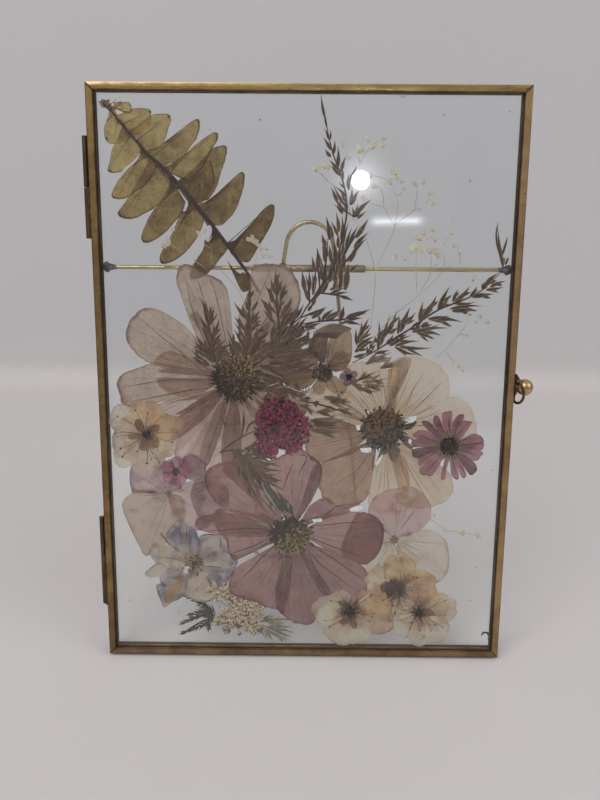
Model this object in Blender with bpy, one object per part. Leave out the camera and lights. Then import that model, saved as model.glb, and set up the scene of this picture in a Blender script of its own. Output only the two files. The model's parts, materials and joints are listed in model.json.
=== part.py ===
"""Pressed flower frame: two hinged brass and glass leaves with pressed flowers between the panes.

The frame is drawn upright in its own axes, in millimetres: x to the right, depth back from the
front face and z up from the bottom edge. An empty then leans the whole thing back onto its wire
stand and carries it to where the base is centred on the origin.
"""

import math

import bmesh
import bpy
from mathutils import Euler, Matrix, Vector

MM = 0.001

# Driving dimensions, in millimetres
FRAME_WIDTH = 131.0
FRAME_HEIGHT = 182.0
LEAN_DEG = 10.0

SHEET = 0.4
RAIL_FACE = 2.3
RAIL_ROUND = 0.3
GLASS = 1.2
GLASS_GAP = 0.2
LEAF_GAP = 0.3
MITRE_GAP = 0.15
LEAF = 2 * (SHEET + GLASS_GAP) + GLASS
BACK_LEAF = LEAF + LEAF_GAP
DEPTH = 2 * LEAF + LEAF_GAP

HINGE_OUT = 1.25
HINGE_RADIUS = 0.9
HINGE_BORE = 0.5
HINGE_PIN = 0.38
HINGE_PLATE = 0.35
HINGE_PLATE_GAP = 0.25
HINGE_PLATE_EDGE = 0.05
HINGE_PLATE_INSET = 0.5
HINGE_PLATE_PARTING = 0.22
KNUCKLE_GAP = 0.25
HINGES = {"upper": (137.2, 152.2, 167.2), "lower": (17.3, 35.2, 47.8)}

BALL_OUT = 3.45
BALL_RADIUS = 2.65
BALL_HEIGHT = 92.4
BALL_NECK = 0.7
BALL_FOOT = 1.1
BALL_FOOT_GAP = 0.25
BALL_FOOT_THICK = 0.3
CLASP_OUT = 1.15
CLASP_WIRE = 0.36
CLASP_SLEEVE = 0.78
CLASP_BORE = 0.5
CLASP_SLEEVE_LENGTH = 5.5
CLASP_HALF = 4.6
CLASP_CORNER = 0.9
CLASP_CLEARANCE = 0.15
CLASP_SLANT_DEG = 11.0

BAR_HEIGHT = 128.7
BAR_RADIUS = 0.68
BAR_HALF = 61.3
BAR_GAP = 0.3
BAR_DEPTH = DEPTH + BAR_GAP + BAR_RADIUS
SOLDER_RADIUS = 1.15
SOLDER_GAP = 0.25
SOLDER_SCALE = (1.0, 0.72, 1.35)
SLEEVE_BORE = 0.85
SLEEVE_RADIUS = 1.15
SLEEVE_HALF = 17.4
STAND_CENTRE = 0.8
STAND_WIRE = 0.68
STAND_ARCH_TOP = 14.1
STAND_ARCH_RADIUS = 7.3
STAND_HALF = 8.2
STAND_SPLAY = 0.11
STAND_OPEN_DEG = 24.0
STAND_CORNER = 6.0
STAND_CORNER_END_DEG = 6.0
STAND_SHOULDER = 2.5
STAND_KNEE = 3.0
STAND_WIRE_GAP = 0.25
ARCH_PANE_GAP = 0.3

PETAL_SHEET = 0.09
PETAL_PANE_GAP = 0.09
LAYER_PITCH = 0.16
FIRST_LAYER = SHEET + GLASS + GLASS_GAP + PETAL_PANE_GAP
PETAL_WIDEST = 0.62
PETAL_SIDE_POWER = 3
PETAL_TIP_POWER = 0.4

# How finely the round shapes are drawn
HINGE_SIDES = 20
PIN_SIDES = 12
BALL_SIDES = 26
BALL_RINGS = 13
CLASP_SLEEVE_SIDES = 16
CLASP_BOW_STEPS = 14
CLASP_CORNER_STEPS = 4
BAR_SIDES = 16
SOLDER_SUBDIVISIONS = 2
STAND_SLEEVE_SIDES = 18
ARCH_STEPS = 12
FOOT_STEPS = 6
WIRE_BEVEL = 3
RAIL_BEND_STEPS = 3
SHARP_EDGE_DEG = 35.0
SAME_POINT = 1e-4

FINISHES = {
    "brass": ((0.36, 0.26, 0.13), 0.38, 1.0),
    "glass": ((0.80, 0.86, 0.86), 0.05, 0.0),
    "solder": ((0.16, 0.15, 0.15), 0.55, 0.8),
    "fern": ((0.30, 0.27, 0.12), 0.75, 0.0),
    "dark_leaf": ((0.06, 0.045, 0.04), 0.7, 0.0),
    "cream": ((0.66, 0.58, 0.42), 0.75, 0.0),
    "dusty": ((0.42, 0.29, 0.24), 0.75, 0.0),
    "mauve": ((0.33, 0.19, 0.22), 0.75, 0.0),
    "blue": ((0.45, 0.50, 0.62), 0.75, 0.0),
    "crimson": ((0.42, 0.05, 0.13), 0.75, 0.0),
    "brown": ((0.22, 0.14, 0.09), 0.75, 0.0),
}


# ---- objects and finishes -------------------------------------------------------------------

def make_finish(name):
    """A plain material with the colour, roughness and metallic value of one finish."""
    colour, roughness, metallic = FINISHES[name]
    material = bpy.data.materials.new(name)
    material.use_nodes = True
    shader = material.node_tree.nodes["Principled BSDF"]
    shader.inputs["Base Color"].default_value = (*colour, 1.0)
    shader.inputs["Roughness"].default_value = roughness
    shader.inputs["Metallic"].default_value = metallic
    if name == "glass":
        shader.inputs["Transmission Weight"].default_value = 1.0
        shader.inputs["IOR"].default_value = 1.5
    return material


def add_object(name, shape, finish, parent):
    """Turn a bmesh drawn in millimetres into an object on its parent."""
    bmesh.ops.recalc_face_normals(shape, faces=shape.faces)
    bmesh.ops.scale(shape, vec=(MM, MM, MM), verts=shape.verts)
    mesh = bpy.data.meshes.new(name)
    shape.to_mesh(mesh)
    shape.free()
    mesh.shade_smooth()
    mesh.set_sharp_from_angle(angle=math.radians(SHARP_EDGE_DEG))
    mesh.materials.append(finish)
    piece = bpy.data.objects.new(name, mesh)
    bpy.context.collection.objects.link(piece)
    piece.parent = parent
    return piece


def add_empty(name, place, parent):
    """An empty at a place in millimetres, to carry pieces or to mark a hinge's axis."""
    empty = bpy.data.objects.new(name, None)
    bpy.context.collection.objects.link(empty)
    empty.location = Vector(place) * MM
    empty.parent = parent
    return empty


def join_in(piece, extra):
    """Unite a piece with a second shape, which stays behind as a hidden guide."""
    extra.hide_render = True
    extra.display_type = "WIRE"
    union = piece.modifiers.new("union", "BOOLEAN")
    union.operation = "UNION"
    union.object = extra


# ---- simple solids, all in millimetres ------------------------------------------------------

def extrude_outline(shape, corners, along):
    """Make one face from corner points and draw it out along a vector."""
    face = shape.faces.new([shape.verts.new(corner) for corner in corners])
    drawn = bmesh.ops.extrude_face_region(shape, geom=[face])
    moved = [item for item in drawn["geom"] if isinstance(item, bmesh.types.BMVert)]
    bmesh.ops.translate(shape, verts=moved, vec=along)
    return moved


def block(low, high):
    """A plain box between two corners."""
    shape = bmesh.new()
    size = Vector(high) - Vector(low)
    bmesh.ops.create_cube(shape, size=1.0)
    bmesh.ops.scale(shape, vec=size, verts=shape.verts)
    bmesh.ops.translate(shape, verts=shape.verts, vec=(Vector(high) + Vector(low)) / 2)
    return shape


def turned(profile, steps, turn, place):
    """Turn an (r, height) profile about its own z axis, then turn and place the result."""
    shape = bmesh.new()
    verts = [shape.verts.new((radius, 0.0, height)) for radius, height in profile]
    edges = [shape.edges.new(pair) for pair in zip(verts, verts[1:])]
    if profile[0][0] > 0.0:
        edges.append(shape.edges.new((verts[-1], verts[0])))
    bmesh.ops.spin(
        shape, geom=verts + edges, cent=(0, 0, 0), axis=(0, 0, 1),
        angle=2 * math.pi, steps=steps, use_merge=True,
    )
    bmesh.ops.remove_doubles(shape, verts=shape.verts, dist=SAME_POINT)
    bmesh.ops.transform(shape, matrix=Matrix.Translation(place) @ turn, verts=shape.verts)
    return shape


def rod(radius, length, steps, turn, place):
    """A solid round rod about its own z axis, centred on its place."""
    half = length / 2
    return turned([(0.0, -half), (radius, -half), (radius, half), (0.0, half)], steps, turn, place)


def tube(outer, inner, length, steps, turn, place):
    """A round tube about its own z axis, centred on its place."""
    half = length / 2
    ring = [(inner, -half), (outer, -half), (outer, half), (inner, half)]
    return turned(ring, steps, turn, place)


def bent_wire(name, points, radius, finish, parent):
    """A closed loop of round wire through points in millimetres."""
    curve = bpy.data.curves.new(name, "CURVE")
    curve.dimensions = "3D"
    curve.bevel_depth = radius * MM
    curve.bevel_resolution = WIRE_BEVEL
    run = curve.splines.new("POLY")
    run.points.add(len(points) - 1)
    for spot, point in zip(run.points, points):
        spot.co = (*(Vector(point) * MM), 1.0)
    run.use_cyclic_u = True
    curve.materials.append(finish)
    wire = bpy.data.objects.new(name, curve)
    bpy.context.collection.objects.link(wire)
    wire.parent = parent
    return wire


def arc(centre, radius, start_deg, end_deg, steps):
    """Points of a plane arc, both ends included."""
    sweep = end_deg - start_deg
    angles = [math.radians(start_deg + sweep * step / steps) for step in range(steps + 1)]
    return [(centre[0] + radius * math.cos(a), centre[1] + radius * math.sin(a)) for a in angles]


ALONG_X = Matrix.Rotation(math.radians(90.0), 4, "Y")
UPRIGHT = Matrix.Identity(4)


# ---- the brass and glass leaves -------------------------------------------------------------

def channel_profile():
    """Outline of a folded channel as (inward from the outer edge, depth) points."""
    near, far = RAIL_ROUND, LEAF - RAIL_ROUND
    front_bend = arc((RAIL_ROUND, near), RAIL_ROUND, 270.0, 180.0, RAIL_BEND_STEPS)
    back_bend = arc((RAIL_ROUND, far), RAIL_ROUND, 180.0, 90.0, RAIL_BEND_STEPS)
    return (
        [(RAIL_FACE, 0.0)] + front_bend + back_bend
        + [(RAIL_FACE, LEAF), (RAIL_FACE, LEAF - SHEET), (SHEET, LEAF - SHEET),
           (SHEET, SHEET), (RAIL_FACE, SHEET)]
    )


def add_rail(name, side, leaf_depth, finish, parent):
    """One channel rail with mitred ends. Side is top, bottom, left or right."""
    across = side in ("top", "bottom")
    half_run = (FRAME_WIDTH if across else FRAME_HEIGHT) / 2
    half_off = (FRAME_HEIGHT if across else FRAME_WIDTH) / 2
    outward = 1.0 if side in ("top", "right") else -1.0

    def spot(inward, depth, end):
        run = end * (half_run - inward - MITRE_GAP)
        off = outward * (half_off - inward)
        x, z = (run, off) if across else (off, run)
        return Vector((x, leaf_depth + depth, z + FRAME_HEIGHT / 2))

    shape = bmesh.new()
    profile = channel_profile()
    near_end = [spot(inward, depth, -1.0) for inward, depth in profile]
    moved = extrude_outline(shape, near_end, (0, 0, 0))
    mirror_of = {tuple(round(c, 5) for c in spot(i, d, -1.0)): spot(i, d, 1.0) for i, d in profile}
    for vert in moved:
        vert.co = mirror_of[tuple(round(c, 5) for c in vert.co)]
    return add_object(name, shape, finish, parent)


def add_leaf(prefix, leaf_depth, brass, glass, parent):
    """Four rails and the pane they hold."""
    for side in ("top", "bottom", "left", "right"):
        add_rail(f"{prefix}_rail_{side}", side, leaf_depth, brass, parent)
    inset = SHEET + GLASS_GAP
    low = (-FRAME_WIDTH / 2 + inset, leaf_depth + SHEET + GLASS_GAP, inset)
    high = (FRAME_WIDTH / 2 - inset, leaf_depth + LEAF - SHEET - GLASS_GAP, FRAME_HEIGHT - inset)
    add_object(f"{prefix}_glass", block(low, high), glass, parent)


# ---- hinges on the left side ----------------------------------------------------------------

def hinge_axis():
    """Place of the two hinges' common axis, as x and depth."""
    return -FRAME_WIDTH / 2 - HINGE_OUT, LEAF + LEAF_GAP / 2


def add_knuckle(name, low, high, plate_span, brass, parent):
    """One rolled knuckle with the flat plate that is soldered to the side of its leaf.

    The parent stands on the hinge axis, so the knuckle is drawn around it.
    """
    length = high - low
    middle = (0.0, 0.0, (high + low) / 2)
    barrel = tube(HINGE_RADIUS, HINGE_BORE, length, HINGE_SIDES, UPRIGHT, middle)
    knuckle = add_object(name, barrel, brass, parent)
    plate_out = HINGE_OUT - HINGE_PLATE_GAP
    plate_low = (plate_out - HINGE_PLATE, plate_span[0], low + HINGE_PLATE_EDGE)
    plate_high = (plate_out, plate_span[1], high - HINGE_PLATE_EDGE)
    plate = add_object(f"{name}_plate_guide", block(plate_low, plate_high), brass, parent)
    join_in(knuckle, plate)
    return knuckle


def add_hinges(brass, body, front):
    """Two hinges of two knuckles each, with their pins held in the back leaf's knuckles."""
    reach = LEAF + LEAF_GAP / 2 - HINGE_PLATE_INSET
    front_span = (-reach, -HINGE_PLATE_PARTING)
    back_span = (HINGE_PLATE_PARTING, reach)
    x, depth = hinge_axis()
    for place, (low, joint, high) in HINGES.items():
        front_low, front_high = low, joint - KNUCKLE_GAP / 2
        back_low, back_high = joint + KNUCKLE_GAP / 2, high
        back_axis = add_empty(f"hinge_{place}_axis", (x, depth, 0.0), body)
        add_knuckle(f"hinge_{place}_front", front_low, front_high, front_span, brass, front)
        add_knuckle(f"hinge_{place}_back", back_low, back_high, back_span, brass, back_axis)
        middle = (0.0, 0.0, (low + high) / 2)
        pin = rod(HINGE_PIN, high - low, PIN_SIDES, UPRIGHT, middle)
        add_object(f"hinge_{place}_pin", pin, brass, back_axis)


# ---- clasp on the right side ----------------------------------------------------------------

def add_ball_stud(brass, front, front_place):
    """A ball on a short neck, standing out of the side of the front leaf."""
    foot_top = BALL_FOOT_GAP + BALL_FOOT_THICK
    meet = math.asin(BALL_NECK / BALL_RADIUS)
    profile = [
        (0.0, BALL_FOOT_GAP), (BALL_FOOT, BALL_FOOT_GAP),
        (BALL_FOOT, foot_top), (BALL_NECK, foot_top),
    ]
    for step in range(BALL_RINGS):
        angle = meet + (math.pi - meet) * step / BALL_RINGS
        profile.append((
            BALL_RADIUS * math.sin(angle),
            BALL_OUT - BALL_RADIUS * math.cos(angle),
        ))
    profile.append((0.0, BALL_OUT + BALL_RADIUS))
    place = Vector((FRAME_WIDTH / 2, LEAF / 2, BALL_HEIGHT)) - front_place
    add_object("clasp_ball", turned(profile, BALL_SIDES, ALONG_X, place), brass, front)


def clasp_outline():
    """Wire path of the clasp's loop in its own plane, as (reach from the axis, height).

    A straight base runs in the sleeve. Two legs then close on an arc that clears the ball while
    the loop swings over it.
    """
    ball_reach = math.hypot(BALL_OUT - CLASP_OUT, BACK_LEAF)
    bow = BALL_RADIUS + CLASP_WIRE + CLASP_CLEARANCE
    tangent = math.degrees(math.asin((CLASP_HALF - bow) / ball_reach))
    upper = 90.0 - tangent
    bend = CLASP_HALF - CLASP_CORNER
    path = arc((ball_reach, 0.0), bow, -upper, upper, CLASP_BOW_STEPS)
    path += arc((CLASP_CORNER, bend), CLASP_CORNER, upper, 180.0, CLASP_CORNER_STEPS)
    path += arc((CLASP_CORNER, -bend), CLASP_CORNER, 180.0, 360.0 - upper, CLASP_CORNER_STEPS)
    return path


def add_clasp(brass, body):
    """The sleeve on the back leaf and the wire loop that turns in it."""
    x = FRAME_WIDTH / 2 + CLASP_OUT
    depth = BACK_LEAF + LEAF / 2
    pivot = add_empty("clasp_axis", (x, depth, BALL_HEIGHT), body)
    size = (CLASP_SLEEVE, CLASP_BORE, CLASP_SLEEVE_LENGTH, CLASP_SLEEVE_SIDES)
    sleeve = tube(*size, UPRIGHT, (0, 0, 0))
    add_object("clasp_sleeve", sleeve, brass, pivot)
    slant = math.radians(CLASP_SLANT_DEG)
    forward = Vector((math.sin(slant), -math.cos(slant), 0.0))
    path = [forward * reach + Vector((0, 0, height)) for reach, height in clasp_outline()]
    bent_wire("clasp_loop", path, CLASP_WIRE, brass, pivot)


# ---- crossbar and wire stand on the back ----------------------------------------------------

def add_crossbar(brass, solder, body):
    """The round bar behind the back pane, with a lump of solder at each end."""
    place = (0.0, BAR_DEPTH, BAR_HEIGHT)
    add_object("crossbar", rod(BAR_RADIUS, 2 * BAR_HALF, BAR_SIDES, ALONG_X, place), brass, body)
    reach = BAR_HALF + SOLDER_GAP + SOLDER_RADIUS
    lump_depth = DEPTH + SOLDER_GAP + SOLDER_SCALE[1] * SOLDER_RADIUS
    for side, sign in (("left", -1.0), ("right", 1.0)):
        lump = bmesh.new()
        bmesh.ops.create_icosphere(lump, subdivisions=SOLDER_SUBDIVISIONS, radius=SOLDER_RADIUS)
        bmesh.ops.scale(lump, vec=SOLDER_SCALE, verts=lump.verts)
        spot = (sign * reach, lump_depth, BAR_HEIGHT)
        bmesh.ops.translate(lump, verts=lump.verts, vec=spot)
        add_object(f"solder_{side}", lump, solder, body)


def stand_path():
    """Centre line of the stand's wire about the bar, with the arch up and the foot down.

    The arch leans forward until it nearly touches the back pane, which stops the stand. The legs
    run back at the stand's open angle, spread a little, and close in a straight foot that stands
    on the same plane as the leaned frame's lower back edge.
    """
    back = SLEEVE_RADIUS + STAND_WIRE + STAND_WIRE_GAP
    pane_depth = DEPTH - SHEET - GLASS_GAP
    crown_depth = pane_depth + ARCH_PANE_GAP + STAND_WIRE - BAR_DEPTH
    arch_slope = (back - crown_depth) / STAND_ARCH_TOP
    leaned = math.radians(LEAN_DEG)
    opened = math.radians(STAND_OPEN_DEG)

    def above(x, up):
        return Vector((x, back - arch_slope * up, up))

    def below(x, down):
        return Vector((x, back + down * math.sin(opened), -down * math.cos(opened)))

    bar_above_floor = BAR_HEIGHT * math.cos(leaned) - (BAR_DEPTH - DEPTH) * math.sin(leaned)
    foot_fall = bar_above_floor - back * math.sin(leaned) - STAND_WIRE
    leg = foot_fall / math.cos(opened - leaned)
    half_foot = STAND_HALF + STAND_SPLAY * leg

    middle = (0.0, STAND_ARCH_TOP - STAND_ARCH_RADIUS)
    crown = arc(middle, STAND_ARCH_RADIUS, 0.0, 180.0, ARCH_STEPS)
    shoulders = (STAND_HALF, STAND_SHOULDER), (-STAND_HALF, STAND_SHOULDER)
    upper = [above(x, up) for x, up in [shoulders[0], *crown, shoulders[1]]]
    turn = (half_foot - STAND_CORNER, leg - STAND_CORNER)
    bend = arc(turn, STAND_CORNER, 90.0, STAND_CORNER_END_DEG, FOOT_STEPS)
    left_foot = [below(-x, down) for x, down in reversed(bend)]
    right_foot = [below(x, down) for x, down in bend]
    knee = STAND_HALF + STAND_SPLAY * STAND_KNEE
    left_knee, right_knee = below(-knee, STAND_KNEE), below(knee, STAND_KNEE)
    return upper + [left_knee] + left_foot + right_foot + [right_knee]


def add_stand(brass, body):
    """The tube that turns on the crossbar and the one long loop of wire soldered to it."""
    pivot = add_empty("stand_axis", (STAND_CENTRE, BAR_DEPTH, BAR_HEIGHT), body)
    size = (SLEEVE_RADIUS, SLEEVE_BORE, 2 * SLEEVE_HALF, STAND_SLEEVE_SIDES)
    sleeve = tube(*size, ALONG_X, (0, 0, 0))
    add_object("stand_sleeve", sleeve, brass, pivot)
    bent_wire("stand_wire", stand_path(), STAND_WIRE, brass, pivot)


# ---- pressed flowers and leaves -------------------------------------------------------------

def layer_depth(layer):
    """Front of one of the thin layers between the panes."""
    return FIRST_LAYER + LAYER_PITCH * layer


def add_plate(name, outline, layer, finish, body):
    """A flat pressed piece with a given (x, z) outline."""
    shape = bmesh.new()
    depth = layer_depth(layer)
    extrude_outline(shape, [(x, depth, z) for x, z in outline], (0.0, PETAL_SHEET, 0.0))
    add_object(name, shape, finish, body)


def bloom_outline(centre, core, petals, count):
    """Outline of a flower from above. A petal is (direction in degrees, length, half width)."""
    outline = []
    for step in range(count):
        angle = 2 * math.pi * step / count
        reach = core
        for direction, length, half_width in petals:
            off = angle - math.radians(direction)
            off = math.atan2(math.sin(off), math.cos(off))
            share = abs(off) / math.atan2(half_width, PETAL_WIDEST * length)
            if share < 1.0:
                rise = (1.0 - share ** PETAL_SIDE_POWER) ** PETAL_TIP_POWER
                reach = max(reach, core + (length - core) * rise)
        outline.append((centre[0] + reach * math.cos(angle), centre[1] + reach * math.sin(angle)))
    return outline


def ribbon_outline(spine, widths):
    """Outline of a frond or spray, from its spine and the half width at each of its points."""
    left, right = [], []
    for index, ((x, z), width) in enumerate(zip(spine, widths)):
        before = spine[max(index - 1, 0)]
        after = spine[min(index + 1, len(spine) - 1)]
        run = Vector((after[0] - before[0], after[1] - before[1])).normalized()
        left.append((x - run.y * width, z + run.x * width))
        right.append((x + run.y * width, z - run.x * width))
    return left + right[::-1]


def spread(count, start_deg, length, half_width):
    """Evenly spaced petals all round, for small flowers with regular petals."""
    return [(start_deg + 360.0 * step / count, length, half_width) for step in range(count)]


BLOOMS = {
    "cosmos_dusty": ("dusty", 3, (-22.6, 94.9), 8.0, 48, [
        (107.0, 36.2, 9.0), (73.0, 37.4, 9.5), (157.0, 36.8, 8.5), (185.0, 37.5, 8.0),
        (223.0, 29.9, 5.0), (250.0, 29.4, 4.0), (205.0, 31.0, 6.0), (130.0, 30.0, 7.0),
        (28.0, 20.0, 6.0),
    ]),
    "cosmos_cream": ("cream", 4, (24.8, 78.4), 8.0, 48, [
        (40.0, 27.1, 9.0), (-5.0, 30.2, 9.5), (-48.0, 34.8, 9.0), (-88.0, 29.0, 9.0),
        (-128.0, 31.0, 9.0), (182.0, 23.4, 9.0), (142.0, 26.0, 8.5), (95.0, 24.0, 9.0),
    ]),
    "cosmos_mauve": ("mauve", 2, (-4.5, 42.5), 7.5, 48, [
        (-7.0, 30.7, 8.5), (-43.0, 34.4, 9.0), (-78.0, 31.7, 8.5), (223.0, 27.2, 8.0),
        (165.0, 22.6, 7.0), (84.0, 25.1, 8.0), (40.0, 25.0, 8.0), (250.0, 27.0, 7.0),
        (125.0, 22.0, 7.0),
    ]),
    "plum_blossom_left": ("cream", 0, (-51.5, 75.8), 4.0, 30, spread(5, 90.0, 9.8, 4.6)),
    "plum_blossom_upper": ("cream", 1, (31.2, 23.4), 4.0, 30, spread(5, 90.0, 9.4, 4.6)),
    "plum_blossom_middle": ("cream", 0, (15.6, 14.9), 4.0, 30, spread(5, 18.0, 9.3, 4.6)),
    "plum_blossom_right": ("cream", 0, (40.6, 14.4), 4.0, 30, spread(5, 54.0, 9.2, 4.6)),
    "floret_pink": ("mauve", 4, (-42.2, 63.4), 3.0, 24, spread(4, 45.0, 9.0, 4.2)),
    "hydrangea_left": ("cream", 5, (-44.3, 55.6), 4.0, 28, spread(4, 20.0, 13.0, 6.4)),
    "hydrangea_right": ("cream", 6, (29.9, 41.1), 4.0, 28, spread(4, 10.0, 12.0, 6.4)),
    "larkspur": ("blue", 4, (-36.6, 32.0), 4.0, 30, spread(5, 80.0, 14.5, 5.6)),
    "cream_cluster": ("cream", 5, (-21.6, 16.3), 5.0, 28, spread(6, 90.0, 9.0, 3.8)),
    "crimson_umbel": ("crimson", 0, (-8.0, 78.1), 6.5, 28, spread(7, 12.0, 8.6, 3.0)),
    "daisy_purple": ("mauve", 0, (46.3, 73.7), 8.0, 32, spread(8, 0.0, 11.4, 4.0)),
    "brown_flower": ("brown", 1, (5.3, 96.8), 3.0, 28, [
        (95.0, 13.5, 4.0), (50.0, 13.0, 4.0), (140.0, 10.0, 4.0), (5.0, 9.0, 3.6),
    ]),
    "tiny_purple_flower": ("mauve", 0, (12.3, 95.6), 2.5, 20, spread(5, 0.0, 4.4, 2.0)),
}

RIBBONS = {
    "spray_tall": (
        "dark_leaf", 5,
        [(3.5, 178.6), (6.3, 169.4), (11.0, 159.4), (13.3, 152.2), (12.3, 140.4), (8.5, 128.3),
         (0.9, 119.1), (-13.1, 104.9)],
        [0.7, 3.2, 5.5, 7.0, 8.0, 9.0, 8.5, 2.0],
    ),
    "spray_right": (
        "dark_leaf", 6,
        [(14.1, 99.7), (24.0, 106.5), (36.9, 113.8), (45.1, 119.1), (57.1, 126.6), (60.0, 130.5),
         (57.7, 142.5)],
        [1.5, 6.0, 8.0, 8.0, 4.5, 2.5, 1.0],
    ),
    "leaf_fan_left": (
        "dark_leaf", 4, [(-30.0, 96.0), (-31.8, 104.5), (-33.0, 116.0)], [2.0, 4.2, 1.2],
    ),
    "leaf_fan_middle": (
        "dark_leaf", 7, [(-20.5, 98.0), (-18.6, 108.0), (-17.8, 120.0)], [3.0, 5.0, 1.0],
    ),
    "leaf_fan_right": (
        "dark_leaf", 6, [(-13.0, 96.5), (-9.4, 106.0), (-6.6, 121.8)], [2.0, 4.2, 1.0],
    ),
    "leaf_green": (
        "dark_leaf", 5, [(-9.5, 74.0), (-13.0, 63.0), (-18.5, 50.5)], [3.0, 7.0, 2.0],
    ),
    "seed_pod": (
        "brown", 2, [(-8.2, 95.6), (-6.2, 95.8), (-2.2, 96.0), (1.8, 95.8), (3.4, 95.6)],
        [1.6, 3.7, 4.6, 3.6, 1.2],
    ),
}

SPRIGS = {
    "fern_frond": ("fern", 6, [
        (-61.6, 176.4), (-53.5, 177.4), (-41.6, 174.4), (-32.6, 172.8), (-24.0, 165.4),
        (-9.4, 147.8), (-12.0, 136.4), (-14.2, 121.0), (-19.6, 121.0), (-36.0, 125.2),
        (-50.8, 136.2), (-58.4, 143.8), (-60.6, 156.4), (-61.2, 168.0),
    ]),
    "breath_sprig_tall": ("cream", 3, [
        (21.0, 109.0), (14.0, 132.0), (0.8, 156.4), (11.0, 165.5), (22.0, 167.6), (35.5, 156.0),
        (39.0, 146.0), (30.0, 138.0), (22.6, 128.0),
    ]),
    "breath_sprig_right": ("cream", 2, [
        (33.9, 118.0), (29.5, 129.0), (35.0, 139.5), (50.5, 141.0), (53.5, 128.5), (42.0, 122.0),
    ]),
    "breath_sprig_side": ("cream", 5, [
        (39.5, 99.0), (45.0, 106.5), (52.6, 114.0), (57.4, 111.5), (50.2, 99.0),
    ]),
    "breath_sprig_fern": ("cream", 4, [
        (-43.5, 137.6), (-37.0, 140.8), (-24.0, 139.6), (-11.5, 133.2), (-24.0, 132.8),
    ]),
    "breath_sprig_low": ("cream", 7, [
        (39.5, 49.5), (44.0, 45.5), (55.5, 45.5), (56.5, 42.0), (43.0, 42.5), (37.5, 47.5),
    ]),
    "needle_sprig_left": ("fern", 6, [
        (-41.8, 19.8), (-30.5, 14.0), (-30.0, 11.5), (-40.8, 7.4), (-43.0, 13.0),
    ]),
    "needle_sprig_pale": ("cream", 7, [
        (-12.6, 13.6), (-5.5, 11.6), (-3.6, 7.4), (-8.0, 4.8), (-12.4, 5.6),
    ]),
}


def add_specimens(finishes, body):
    """Every pressed flower, leaf and sprig, each a flat piece in its own layer."""
    for name, (finish, layer, centre, core, count, petals) in BLOOMS.items():
        add_plate(name, bloom_outline(centre, core, petals, count), layer, finishes[finish], body)
    for name, (finish, layer, spine, widths) in RIBBONS.items():
        add_plate(name, ribbon_outline(spine, widths), layer, finishes[finish], body)
    for name, (finish, layer, outline) in SPRIGS.items():
        add_plate(name, outline, layer, finishes[finish], body)


# ---- assembly -------------------------------------------------------------------------------

def centre_on_floor(lean):
    """Move the leaned frame so that its box stands on the origin's plane, centred over it."""
    bpy.context.view_layer.update()
    depsgraph = bpy.context.evaluated_depsgraph_get()
    corners = []
    for piece in bpy.context.scene.objects:
        if piece.type == "EMPTY" or piece.hide_render:
            continue
        solid = piece.evaluated_get(depsgraph)
        mesh = solid.to_mesh()
        corners += [solid.matrix_world @ vert.co for vert in mesh.vertices]
        solid.to_mesh_clear()
    low = Vector(min(corner[axis] for corner in corners) for axis in range(3))
    high = Vector(max(corner[axis] for corner in corners) for axis in range(3))
    lean.location -= Vector(((low.x + high.x) / 2, (low.y + high.y) / 2, low.z))


def main():
    """Build the frame, its fittings and what is pressed between its panes."""
    for leftover in list(bpy.data.objects):
        bpy.data.objects.remove(leftover)
    finishes = {name: make_finish(name) for name in FINISHES}
    brass = finishes["brass"]

    lean = add_empty("lean", (0.0, 0.0, 0.0), None)
    lean.rotation_euler = Euler((-math.radians(LEAN_DEG), 0.0, 0.0))

    x, depth = hinge_axis()
    front_place = Vector((x, depth, 0.0))
    front = add_empty("front_leaf_axis", front_place, lean)
    front_body = add_empty("front_leaf", -front_place, front)

    add_leaf("front", 0.0, brass, finishes["glass"], front_body)
    add_leaf("back", BACK_LEAF, brass, finishes["glass"], lean)
    add_hinges(brass, lean, front)
    add_ball_stud(brass, front, front_place)
    add_clasp(brass, lean)
    add_crossbar(brass, finishes["solder"], lean)
    add_stand(brass, lean)
    add_specimens(finishes, lean)
    centre_on_floor(lean)


main()
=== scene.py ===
"""The looks of a pressed flower frame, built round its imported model.

Two hinged leaves of glass in brass channels hold dried flowers between them. Places between the
panes are traced as picture coordinates of a 600 x 800 frame, and FrameSpace turns them into the
leaned frame's own millimetres: x to the right, depth behind the front face, z up.
"""
from __future__ import annotations

import json
import logging
import math
import random
from dataclasses import dataclass
from enum import Enum
from typing import Callable, Iterable, Protocol, Sequence

import bmesh
import bpy
from mathutils import Matrix, Vector, noise

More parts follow.
